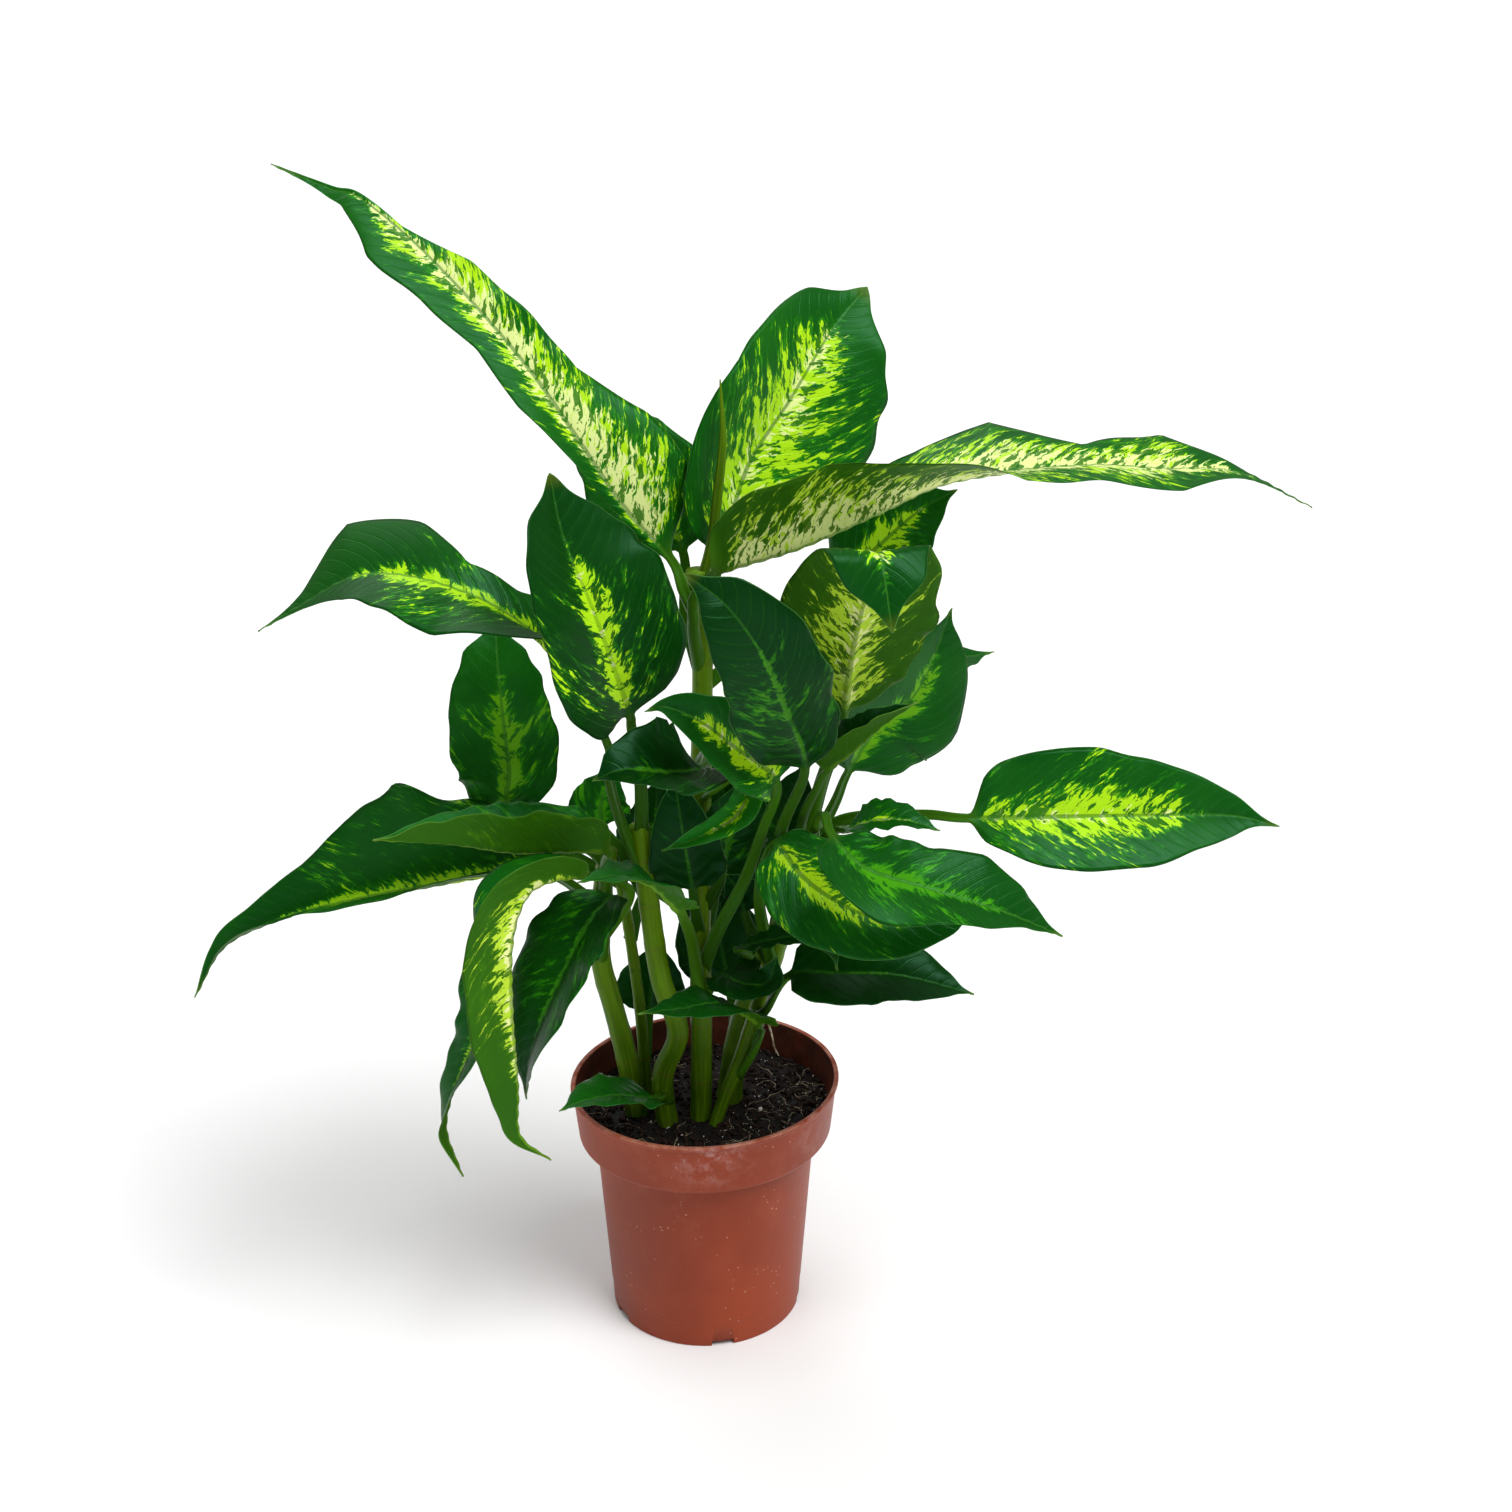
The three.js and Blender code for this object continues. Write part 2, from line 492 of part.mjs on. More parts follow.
// ---------------------------------------------------------------- pot and soil
/** The soft plastic pot has been squeezed: its rim dips on the left and stands up on the right. */
function squeeze(geometry) {
  const position = geometry.attributes.position;
  for (let i = 0; i < position.count; i += 1) {
    const rise = (position.getZ(i) / POT_HEIGHT) ** 2;
    position.setZ(i, position.getZ(i) + RIM_TILT * rise * (position.getX(i) / RIM_RADIUS));
  }
  return geometry;
}

/** Turns a closed (radius, height) outline about the pot's upright axis. */
function turned(outline) {
  const closed = [...outline, outline[0]].map(([r, z]) => new THREE.Vector2(r, z));
  return new THREE.LatheGeometry(closed, POT_SEGMENTS).rotateX(Math.PI / 2);
}

function potSolid() {
  const under = [[0, 0], [STUD_RADIUS, 0], [STUD_RADIUS, FLOOR_HEIGHT],
    [FOOT_RADIUS - FOOT_RING_WIDTH, FLOOR_HEIGHT], [FOOT_RADIUS - FOOT_RING_WIDTH, 0]];
  const outer = [[FOOT_RADIUS, 0], [NECK_RADIUS, COLLAR_FOOT - STEP_DROP], [COLLAR_FOOT_RADIUS, COLLAR_FOOT],
    [RIM_RADIUS - LIP_REACH, POT_HEIGHT - LIP_HEIGHT - LIP_REACH], [RIM_RADIUS, POT_HEIGHT - LIP_HEIGHT],
    [RIM_RADIUS, POT_HEIGHT]];
  const inner = [[RIM_RADIUS - POT_WALL - LIP_REACH, POT_HEIGHT],
    [COLLAR_FOOT_RADIUS - POT_WALL, COLLAR_FOOT + POT_WALL],
    [NECK_RADIUS - POT_WALL, COLLAR_FOOT + POT_WALL - STEP_DROP],
    [FOOT_RADIUS - POT_WALL, FLOOR_HEIGHT + POT_WALL], [0, FLOOR_HEIGHT + POT_WALL]];
  let pot = toSolid(turned([...under, ...outer, ...inner]));
  for (let i = 0; i < NOTCH_COUNT; i += 1) {
    const angle = THREE.MathUtils.degToRad(NOTCH_START + (i * 360) / NOTCH_COUNT);
    const notch = new THREE.BoxGeometry(NOTCH_WIDTH, NOTCH_DEPTH, NOTCH_HEIGHT * 2);
    notch.translate(0, -FOOT_RADIUS, 0).rotateZ(angle);
    pot = pot.subtract(toSolid(notch));
  }
  return pot;
}

/** Moist peat: it fills the pot to below the rim, is mounded a little and is pierced by the canes. */
function soilSolid() {
  const wall = POT_WALL + SOIL_GAP;
  const step = COLLAR_FOOT + wall + 0.2;
  const slope = (SOIL_HEIGHT - COLLAR_FOOT) / COLLAR_HEIGHT;
  const reach = THREE.MathUtils.lerp(COLLAR_FOOT_RADIUS, RIM_RADIUS - LIP_REACH, slope) - wall;
  const outline = [[0, FLOOR_HEIGHT + wall], [FOOT_RADIUS - wall, FLOOR_HEIGHT + wall],
    [NECK_RADIUS - wall, step - 1], [COLLAR_FOOT_RADIUS - wall - SOIL_GAP, step],
    [reach - SOIL_MOUND, SOIL_HEIGHT - 1], [reach * 0.66, SOIL_HEIGHT + SOIL_MOUND],
    [reach * 0.33, SOIL_HEIGHT], [0, SOIL_HEIGHT + SOIL_MOUND]];
  return cutSeats(toSolid(squeeze(turned(outline))), Object.values(CANES), SOIL_GAP);
}

// ---------------------------------------------------------------- scene graph
const plant = new THREE.Group();

function addPiece(name, geometry, color, roughness) {
  geometry.computeVertexNormals();
  const material = new THREE.MeshStandardMaterial({ color, roughness, metalness: 0 });
  const mesh = new THREE.Mesh(geometry, material);
  mesh.name = name;
  plant.add(mesh);
}

addPiece('pot', squeeze(fromSolid(potSolid())), TERRACOTTA, 0.6);
addPiece('soil', fromSolid(soilSolid()), PEAT, 0.95);
for (const [name, cane] of Object.entries(CANES)) addPiece(name, caneGeometry(cane), CANE_GREEN, 0.45);
addPiece('leaf_spear', seatedOn('cane_tall', caneGeometry(SPEAR)), YOUNG_GREEN, 0.35);
for (const [name, leaf] of Object.entries(LEAVES)) {
  addPiece(name, seatedOn(leaf.cane, leafGeometry(leaf)), LEAF_GREEN, 0.35);
}

export default plant;
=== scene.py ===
"""The look of a potted dieffenbachia: variegated leaves, fleshy canes, peat and a plastic nursery pot.

Blender 4.5. Everything is in the row frame, in metres; the tables are in millimetres, as the CAD's are.
"""

import math

import bmesh
import bpy
import numpy as np
from mathutils import Euler, Matrix


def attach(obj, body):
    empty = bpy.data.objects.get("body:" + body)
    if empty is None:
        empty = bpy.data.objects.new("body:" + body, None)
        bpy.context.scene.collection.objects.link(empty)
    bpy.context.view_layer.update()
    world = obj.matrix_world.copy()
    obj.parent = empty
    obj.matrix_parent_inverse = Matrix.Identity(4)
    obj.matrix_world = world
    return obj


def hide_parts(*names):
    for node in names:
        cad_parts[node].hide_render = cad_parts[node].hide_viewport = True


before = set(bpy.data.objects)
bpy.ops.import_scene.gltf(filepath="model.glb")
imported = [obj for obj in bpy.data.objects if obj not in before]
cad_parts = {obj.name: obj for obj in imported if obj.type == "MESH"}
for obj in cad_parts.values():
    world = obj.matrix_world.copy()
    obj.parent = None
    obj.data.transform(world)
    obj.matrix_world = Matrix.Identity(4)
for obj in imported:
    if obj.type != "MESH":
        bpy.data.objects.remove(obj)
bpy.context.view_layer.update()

MM = 0.001

# ---------------------------------------------------------------- the pot, in mm
POT_HEIGHT = 113.4
RIM_RADIUS = 60.0
RIM_TILT = 2.2
LIP_HEIGHT = 1.7
LIP_REACH = 1.0
LIP_SLOPE = 0.9
LIP_THICKENING = 0.8
COLLAR_HEIGHT = 24.7
COLLAR_FOOT = POT_HEIGHT - COLLAR_HEIGHT
COLLAR_FOOT_RADIUS = 56.7
COLLAR_EDGE = 1.2
COLLAR_EDGE_DROP = 0.4
COLLAR_EDGE_RISE = 1.0
NECK_RADIUS = 49.2
NECK_TOP = COLLAR_FOOT - 1.6
MOULD_LINE_HEIGHT = 12.0
MOULD_LINE_STEP = 0.25
MOULD_LINE_DROP = 0.4
FOOT_RADIUS = 43.0
FOOT_RING_WIDTH = 2.5
STUD_RADIUS = 9.0
POT_WALL = 1.4
FLOOR_HEIGHT = 3.2
ON_AXIS = 0.01
POT_CORNER = 0.7
POT_SEGMENTS = 180
NOTCH_COUNT = 5
NOTCH_WIDTH = 10.0
NOTCH_DEPTH = 12.0
NOTCH_HEIGHT = 2.8
NOTCH_START = 11.0
# Heights between which the lip's wear grows, and between which the collar's inside gets painted shade and
# grime.
LIP_WEAR = (POT_HEIGHT - 1.2, POT_HEIGHT - 0.3)
INSIDE_COLLAR = (COLLAR_FOOT + 1.0, POT_HEIGHT - 0.4)
# Scuffs: their middle to the right and up, their half width and half height, how far in front of the
# pot's axis they start, and how strong they are.
SCUFFS = [(4, 105, 13, 8, 30, 1.0), (46, 100, 8, 9, 0, 0.6)]

# ---------------------------------------------------------------- the soil and what lies on it, in mm
SOIL_HEIGHT = 99.0
SOIL_GAP = 0.3
SOIL_STEP_RISE = 0.5
SOIL_STEP_DROP = 1.0
SOIL_TOP = SOIL_HEIGHT + 0.6
SOIL_MEAN = SOIL_HEIGHT + 0.2
SOIL_RINGS = 70
SOIL_SEGMENTS = 200
SOIL_SEED = 5
BROAD_LUMPS = {"height": 1.6, "scale": 0.16}
FINE_LUMPS = {"height": 1.9, "scale": 0.62}
LUMP_WAVES = 9
WAVE_QUICKENING = 0.37
WAVE_FADING = 0.35
GRIT_HEIGHT = 0.28
EDGE_DIP = 1.2
EDGE_START = 0.85
BITS_SEED = 11
CANE_ROOM = 5.0
STREWN_REACH = 0.965
LUMP_ROUGHNESS = (0.7, 1.2)
LUMP_FLATNESS = (0.55, 1.0)
# How many bits, how far above the soil's top, how large, and how much of the middle stays clear of them
# (0 to 1).
PEAT_CRUMBS = {"count": 1500, "height": (-0.6, 0.9), "size": (0.5, 1.9), "clear": 0.0}
PERLITE_GRAINS = {"count": 120, "height": (0.2, 1.2), "size": (0.2, 0.55), "clear": 0.3}
LARGE_GRAIN = (25.0, -9.0, SOIL_TOP + 1.6)
LARGE_GRAIN_SIZE = 1.8
FIBRE_COUNT = 230
FIBRE_CLEAR = 0.35
FIBRE_LENGTH = (4, 15)
FIBRE_RADIUS = (0.05, 0.14)
FIBRE_BENDS = 6
FIBRE_CURL = 0.5
FIBRE_LIFT = (-0.2, 0.8)
FIBRE_WAVE = (-0.6, 0.7)
FIBRE_WALL_GAP = 0.8
# A fibre stays where its x is above a random one from this range, so that most lie to the right.
FIBRE_LEAN = (-70, 45)
DRY_STALK = [[19, -9, 136], [24, -9, 146], [28, -8, 145], [30, -7, 138], [31, -6, 132], [33, -5, 127]]
DRY_STALK_RADII = (0.75, 0.3)
THREAD_STEPS = 120
# A direction that no fibre and no part of the dry stalk runs along.
NOT_ALONG = np.array([0.0, -0.2, 1.0])

# ---------------------------------------------------------------- canes: axis points and radii, in mm
CANES = {
    "cane_left": {
        "axis": [[-29, -6, 88], [-34, -6, 125], [-39, -8, 151], [-44, -10, 177], [-43, -13, 205],
            [-39, -17, 232]],
        "radius": [5, 4],
    },
    "cane_thin": {
        "axis": [[-26, 4, 88], [-28, 3, 140], [-32, 4, 180], [-36, 2, 212]], "radius": [2.8, 2.4],
    },
    "cane_front": {
        "axis": [[-15, -14, 88], [-18, -15, 121], [-11, -16, 145], [-18, -16, 171], [-22, -16, 203],
            [-26, -16, 243]],
        "radius": [5, 4.4],
    },
    "cane_tall": {
        "axis": [[-2, -10, 88], [-1, -10, 127], [-1, -8, 164], [-1, 0, 215], [0, -5, 268], [1, -8, 313],
            [-1, -10, 352]],
        "radius": [5, 4.4],
    },
    "cane_right": {
        "axis": [[1, -19, 88], [8, -15, 108], [17, -9, 130], [24, -6, 152], [31, -8, 177], [37, -12, 206],
            [44, -14, 236]],
        "radius": [2.8, 3.6, 4, 4],
    },
    "cane_back": {
        "axis": [[10, 4, 88], [12, 5, 110], [15, 7, 131], [22, 8, 158], [31, 7, 180], [41, 4, 206],
            [52, 2, 236]],
        "radius": [6, 5, 3.6, 3.2],
    },
}
SPEAR = {
    "axis": [[0, -10, 344], [5, -11, 362], [8, -12, 385], [10, -10, 406], [9, -6, 428]],
    "radius": [2.4, 2.2, 1.8, 0.4],
}
SPEAR_NUMBER = 50
CANE_STEP = 1.5
CANE_SIDES = 32
CANE_INSET = 0.1
OVAL = 0.03
NODE_SPACING = 21.0
FIRST_NODE = (8, 16)
NODE_SWAY = 4.0
NODE_SWELL = 0.06
NODE_REACH = 2.2
SCAR_DEPTH = 0.03
SCAR_REACH = 0.7
CANE_SEED = 40

# ---------------------------------------------------------------- leaves, in mm
# petiole: from the cane's axis to the foot of the blade; rib: along the blade to its tip.
# face: where the upper side looks, at the foot, (the middle) and the tip of the blade.
# width: the blade's greatest width; shape: how it widens from its foot and narrows to its tip.
# fold: how far the left and right halves are raised from flat, in degrees, from the foot to the tip.
# wave: how high the margin ripples.
# sides: how wide the left and right halves are for their place on the blade, from the foot to the tip.
# colour: light, how far the pale core reaches from the midrib (0 none, 1 to the margin); cream, how much
# of that core is cream and not lime; tone, from 0 a near-black green to 1 a fresh one, partly the leaf's
# own green and partly painted shade, darkest for leaves that lie in the shade of others.
# core_side: above 0 where the pale core lies more on the right half, below 0 on the left.
PLAIN_LEAF = {"fold": [[10, 10]], "wave": 0, "shape": [0.5, 1.05], "sides": [[1, 1]], "core_side": 0.0}
LEAVES = {
    "leaf_top_left": {
        "petiole": [[0, -9, 330], [-6, -15, 345]],
        "rib": [[-11, -12, 357], [-30, -17, 381], [-64, -9, 431], [-101, 4, 471], [-129, 12, 494],
            [-142, 15, 498], [-165, 18, 507]],
        "face": [[0.2, -0.85, 0.45], [0.2, -0.85, 0.45], [0, -0.85, 0.5]], "width": 58, "fold": [[20, 5]],
        "wave": 3,
        "sides": [[0.3, 1], [0.15, 1.3], [0.3, 1.05], [0.5, 0.55], [0.5, 0.52], [0.8, 0.5], [1.25, 0.1],
            [0.7, 0.2], [0.6, 0.5]],
        "colour": (0.85, 0.85, 0.57), "core_side": 0.4,
    },
    "leaf_top_right": {
        "petiole": [[0, -8, 324], [4, -1, 340]],
        "rib": [[9, -2, 354], [19, 10, 388], [37, 24, 414], [54, 40, 439], [69, 56, 454]],
        "face": [[0.3, -0.9, 0.1], [0.4, -0.9, 0.3], [0.2, -0.6, 0.8]], "width": 74,
        "fold": [[25, 0], [30, 0], [15, 0]], "wave": 2, "shape": [0.55, 0.8],
        "sides": [[1, 1], [1, 1.05], [0.95, 1.2], [1, 1.3]], "colour": (0.62, 0.5, 0.57),
    },
    "leaf_top_back": {
        "petiole": [[1, -7, 304], [-6, 4, 328]],
        "rib": [[-7, 10, 354], [-21, 22, 377], [-40, 36, 396], [-58, 48, 412]], "face": [[0, -0.9, 0.4]],
        "width": 50, "wave": 2, "colour": (0.2, 0.2, 0.48),
    },
    "leaf_right_long": {
        "petiole": [[0, -8, 310], [-2, -24, 335]],
        "rib": [[3, -30, 355], [40, -36, 370], [71, -36, 384], [99, -33, 395], [148, -27, 399],
            [180, -24, 397], [211, -22, 395], [243, -14, 379]],
        "face": [[0, -0.1, 1], [0, -0.1, 1], [0, -0.2, 1]], "width": 62,
        "fold": [[10, 80], [0, 78], [15, 10], [15, 0], [0, 0]], "wave": 2,
        "sides": [[1, 1], [1, 1.1], [1, 1], [0.9, 0.8], [1.3, 0.9], [0.6, 1], [1.4, 1.4], [0.4, 0.75],
            [0.6, 0.6]],
        "colour": (0.92, 0.9, 0.57),
    },
    "leaf_left_erect": {
        "petiole": [[-25, -16, 236], [-24, -30, 268], [-26, -47, 297]],
        "rib": [[-26, -55, 306], [-30, -63, 324], [-38, -67, 352], [-49, -62, 380], [-54, -56, 403]],
        "face": [[0.3, -0.9, 0.1], [0.4, -0.9, 0.3]], "width": 66, "fold": [[35, 0]], "wave": 1,
        "shape": [0.5, 0.75], "colour": (0.21, 0.22, 0.14),
    },
    "leaf_left_upper": {
        "petiole": [[-24, -16, 220], [-33, -24, 250], [-37, -32, 275]],
        "rib": [[-37, -35, 288], [-55, -35, 322], [-75, -38, 343], [-100, -36, 354], [-122, -32, 357],
            [-138, -30, 354], [-157, -28, 343], [-175, -28, 332]],
        "face": [[0.2, -0.4, 0.9], [0.2, -0.4, 0.9], [0.3, -0.2, 0.9]], "width": 62,
        "fold": [[80, 10], [60, 10], [0, 15], [0, 20], [0, 0]], "wave": 3, "shape": [0.7, 1.2],
        "sides": [[1, 1], [1, 1.1], [1, 0.75], [1, 0.45], [1, 0.4], [1, 1.15], [0.95, 1.65], [0.5, 0.9],
            [0.5, 0.6]],
        "colour": (0.25, 0.08, 0.35),
    },
    "leaf_left_mid": {
        "petiole": [[-34, 4, 206], [-62, -4, 228]],
        "rib": [[-81, -8, 244], [-80, -10, 265], [-82, -6, 287], [-84, 0, 310], [-85, 8, 325]],
        "face": [[0.2, -0.9, 0.1]], "width": 43, "fold": [[8, 8]], "wave": 2, "shape": [0.5, 0.6],
        "sides": [[1.2, 1], [1.1, 1.02], [1.05, 0.95], [1, 0.8]], "colour": (0.28, 0.03, 0.55),
    },
    "leaf_left_low": {
        "petiole": [[-39, -17, 226]],
        "rib": [[-50, -28, 238], [-75, -30, 230], [-113, -28, 221], [-143, -24, 213], [-174, -22, 204],
            [-203, -20, 189], [-218, -22, 165]],
        "face": [[0, -0.35, 0.93]], "width": 56, "fold": [[60, 30], [40, 60], [40, 50], [40, 40]],
        "wave": 2,
        "sides": [[1, 1], [1, 1.05], [1, 1.3], [1, 1.6], [1, 1.3], [1, 0.9], [1, 0.75], [1, 0.6], [1, 1]],
        "colour": (0.17, 0.06, 0.42), "core_side": -0.3,
    },
    "leaf_left_curved": {
        "petiole": [[-41, -14, 210], [-39, -30, 232]],
        "rib": [[-38, -46, 245], [-55, -56, 250], [-74, -62, 252], [-97, -66, 257], [-127, -70, 260]],
        "face": [[0, -0.1, 1]], "width": 40, "fold": [[80, 50]], "wave": 1, "colour": (0.05, 0, 0.9),
    },
    "leaf_left_hanging": {
        "petiole": [[-44, -11, 188], [-30, -34, 218], [-32, -52, 234]],
        "rib": [[-44, -62, 241], [-56, -72, 245], [-67, -81, 242], [-73, -89, 226], [-74, -91, 196],
            [-73, -89, 160], [-73, -86, 136], [-61, -84, 123]],
        "face": [[0, -0.2, 1], [-0.8, 0, 0.6], [-1, 0.1, 0.1], [-1, 0.1, 0]], "width": 40,
        "fold": [[45, 20], [65, 40], [70, 60], [60, 50]], "colour": (0.28, 0.62, 0.8), "core_side": -0.1,
    },
    "leaf_front_low": {
        "petiole": [[-44, -10, 178], [-40, -30, 205]],
        "rib": [[-35, -45, 224], [-44, -60, 220], [-58, -72, 195], [-68, -76, 170], [-71, -76, 147]],
        "face": [[0, -0.2, 1], [-0.7, -0.5, 0.5], [-1, -0.4, 0]], "width": 47, "fold": [[19, 19]],
        "shape": [0.65, 0.87], "colour": (0.05, 0, 0.31),
    },
    "leaf_left_tip": {
        "petiole": [[-43, -13, 202], [-58, -34, 226]],
        "rib": [[-70, -48, 236], [-80, -60, 218], [-89, -68, 179], [-97, -68, 158], [-103, -68, 144],
            [-106, -68, 127], [-100, -68, 105]],
        "face": [[-0.5, -0.8, 0.4], [-0.5, -0.8, 0.3], [-0.9, -0.4, 0], [-0.8, 0.3, 0]], "width": 24,
        "fold": [[20, 20]], "shape": [0.6, 0.8], "sides": [[1, 1], [0.7, 1], [0.7, 0.8], [1, 1]],
        "colour": (0.15, 0.4, 0.48),
    },
    "leaf_centre_dark": {
        "petiole": [[36, -12, 203], [33, -34, 246]],
        "rib": [[42, -68, 289], [34, -88, 321], [25, -98, 346], [12, -102, 366], [-3, -96, 376]],
        "face": [[0.1, -0.9, 0.4]], "width": 42, "fold": [[5, 5]], "wave": 1, "shape": [0.6, 0.8],
        "colour": (0.05, 0, 0),
    },
    "leaf_centre_right": {
        "petiole": [[44, -14, 235], [50, -15, 262], [56, -26, 286]],
        "rib": [[58, -40, 302], [60, -52, 330], [64, -66, 358], [68, -80, 379], [73, -92, 352]],
        "face": [[0, 0.9, 0.4], [0, 0.9, 0.5], [0, 0.4, 1], [0, -0.8, 0.3]], "width": 60,
        "fold": [[5, 5]], "shape": [0.7, 0.9], "colour": (0.6, 0.5, 0.3),
    },
    "leaf_right_shade": {
        "petiole": [[0, -7, 300], [30, 4, 322]],
        "rib": [[58, 10, 342], [74, 10, 357], [89, 6, 372], [104, 2, 382]], "face": [[0.2, -0.9, 0.4]],
        "width": 40, "wave": 2, "colour": (0.45, 0.2, 0.48),
    },
    "leaf_right_behind": {
        "petiole": [[49, 2, 228], [57, -1, 247]],
        "rib": [[62, -4, 262], [74, -3, 282], [91, 0, 298], [104, 6, 331]], "face": [[0.5, -0.8, -0.1]],
        "width": 62, "wave": 2, "shape": [0.56, 1.1], "colour": (0.27, 0.03, 0.5),
    },
    "leaf_right_narrow": {
        "petiole": [[40, -13, 215], [41, -26, 248], [47, -44, 272]],
        "rib": [[51, -54, 284], [59, -62, 294], [72, -70, 309], [84, -72, 318]],
        "face": [[-0.3, -0.3, 0.9]], "width": 22, "fold": [[60, 60]], "colour": (0, 0, 0.1),
    },
    "leaf_centre_curl": {
        "petiole": [[-1, -8, 168], [6, -16, 192], [18, -20, 219], [26, -36, 250]],
        "rib": [[31, -62, 281], [14, -74, 301], [2, -80, 313], [-11, -80, 319], [-19, -80, 317]],
        "face": [[0.2, -0.8, 0.5]], "width": 36, "fold": [[30, 30]], "colour": (0.45, 0.4, 0.48),
    },
    "leaf_centre_left": {
        "petiole": [[0, -5, 268], [4, -34, 284]],
        "rib": [[2, -66, 289], [-10, -78, 292], [-27, -86, 296], [-39, -88, 292]],
        "face": [[0, -0.48, 0.88]], "width": 44, "fold": [[25, 25]], "wave": 1, "colour": (0.05, 0, 0.05),
    },
    "leaf_mid_left": {
        "petiole": [[-1, -9, 156], [-4, -20, 190], [-7, -44, 214]],
        "rib": [[-8, -62, 226], [-18, -72, 242], [-32, -82, 250], [-46, -86, 249]], "face": [[0, 0, 1]],
        "width": 34, "colour": (0.06, 0, 0.74),
    },
    "leaf_front_small": {
        "petiole": [[14, -11, 121], [22, -14, 137]],
        "rib": [[24, -16, 150], [8, -44, 174], [-8, -58, 179], [-25, -66, 181]], "face": [[0, -0.15, 1]],
        "width": 34, "fold": [[5, 5]], "colour": (0.03, 0, 0.25),
    },
    "leaf_pot_small": {
        "petiole": [[-16, -15, 110], [-18, -20, 116]],
        "rib": [[-21, -28, 119], [-37, -44, 130], [-51, -58, 135], [-59, -64, 134]],
        "face": [[0, -0.15, 1]], "width": 30, "colour": (0, 0, 0.45),
    },
    "leaf_right_far": {
        "petiole": [[45, 3, 216], [58, -6, 240], [91, -24, 251]],
        "rib": [[110, -30, 252], [148, -26, 251], [186, -22, 250], [220, -20, 249], [241, -20, 244]],
        "face": [[0, -0.9, 0.4]], "width": 56, "fold": [[10, 28]], "wave": 2,
        "sides": [[1.1, 0.7], [1.05, 0.85], [1.05, 1], [1, 1.03], [0.8, 1]], "colour": (0.42, 0.35, 0.48),
    },
    "leaf_right_small": {
        "petiole": [[42, -13, 224], [52, -15, 238], [57, -28, 247]],
        "rib": [[60, -38, 251], [70, -44, 257], [83, -48, 259], [97, -50, 255]], "face": [[0, -0.2, 1]],
        "width": 22, "fold": [[20, 10]], "colour": (0.15, 0.6, 0.48),
    },
    "leaf_right_lower": {
        "petiole": [[33, -10, 183], [46, -30, 240], [50, -50, 263]],
        "rib": [[53, -63, 259], [66, -75, 250], [91, -79, 243], [121, -75, 231], [146, -66, 216]],
        "face": [[0.2, -0.6, 0.8]], "width": 45, "fold": [[15, 15]], "wave": 3,
        "sides": [[1, 1], [0.75, 1.05], [0.75, 1], [1.1, 0.75], [1.15, 0.5], [1, 0.8]],
        "colour": (0.24, 0, 0.38),
    },
    "leaf_right_front": {
        "petiole": [[30, -8, 171], [24, -24, 214]],
        "rib": [[30, -38, 244], [41, -46, 234], [53, -53, 227], [71, -55, 219], [96, -53, 218],
            [117, -49, 222]],
        "face": [[-0.3, -0.7, 0.7], [0.1, -0.9, 0.4]], "width": 43, "colour": (0.28, 0.2, 0.5),
    },
    "leaf_right_tip": {
        "petiole": [[23, -4, 150], [26, -20, 158]],
        "rib": [[37, -34, 182], [58, -38, 185], [83, -38, 184], [115, -36, 174]],
        "face": [[0.1, -0.5, 0.9]], "width": 40, "fold": [[15, 15]], "colour": (0.03, 0, 0.1),
    },
    "leaf_right_wisp": {
        "petiole": [[26, -6, 165], [20, -14, 182]],
        "rib": [[16, -26, 191], [41, -38, 202], [54, -42, 197], [57, -44, 189]], "face": [[0, -0.2, 1]],
        "width": 16, "colour": (0.03, 0, 0.2),
    },
    "leaf_centre_small": {
        "petiole": [[-1, -9, 158], [4, -14, 168]],
        "rib": [[8, -22, 176], [18, -36, 179], [28, -40, 182], [32, -38, 194]], "face": [[0, -0.4, 0.9]],
        "width": 26, "fold": [[15, 15]], "colour": (0.03, 0, 0.1),
    },
    "leaf_shade_right": {
        "petiole": [[30, -8, 174], [21, -4, 188]], "rib": [[18, -6, 198], [16, -7, 208], [10, -8, 217]],
        "face": [[0, -0.9, 0.4]], "width": 20, "colour": (0.03, 0, 0),
    },
    "leaf_shade_left": {
        "petiole": [[-1, -6, 184], [-3, -10, 200]],
        "rib": [[-4, -13, 212], [-7, -20, 237], [-9, -20, 253], [-11, -15, 266]],
        "face": [[0, -0.9, 0.4]], "width": 33, "colour": (0.03, 0, 0),
    },
    "leaf_shade_mid": {
        "petiole": [[-1, -3, 196], [6, -5, 208]],
        "rib": [[9, -6, 219], [13, -10, 238], [19, -11, 253], [24, -8, 266]], "face": [[0.3, -0.9, 0.4]],
        "width": 32, "colour": (0.08, 0, 0.1),
    },
    "leaf_shade_far_left": {
        "petiole": [[-22, -16, 206], [-34, -10, 228]],
        "rib": [[-42, -6, 238], [-42, -4, 250], [-36, 0, 262]], "face": [[0, -0.9, 0.4]], "width": 26,
        "colour": (0.2, 0, 0.4),
    },
    "leaf_back_right": {
        "petiole": [[43, 4, 210], [49, 16, 236]],
        "rib": [[58, 28, 258], [77, 40, 278], [100, 60, 287], [131, 80, 287]], "face": [[0, -0.3, 1]],
        "width": 44, "colour": (0.1, 0.1, 0.4),
    },
    "leaf_centre_young": {
        "petiole": [[0, -4, 252], [12, -28, 270]],
        "rib": [[20, -50, 283], [21, -60, 279], [15, -68, 269], [1, -72, 262], [-14, -72, 256]],
        "face": [[0.2, -0.7, 0.6]], "width": 16, "fold": [[40, 40]], "colour": (0.3, 0.6, 1),
    },
    "leaf_shade_back_left": {
        "petiole": [[-32, 4, 180], [-29, 14, 190]],
        "rib": [[-26, 19, 197], [-23, 23, 212], [-21, 24, 230], [-20, 22, 250]], "face": [[0, -0.9, 0.3]],
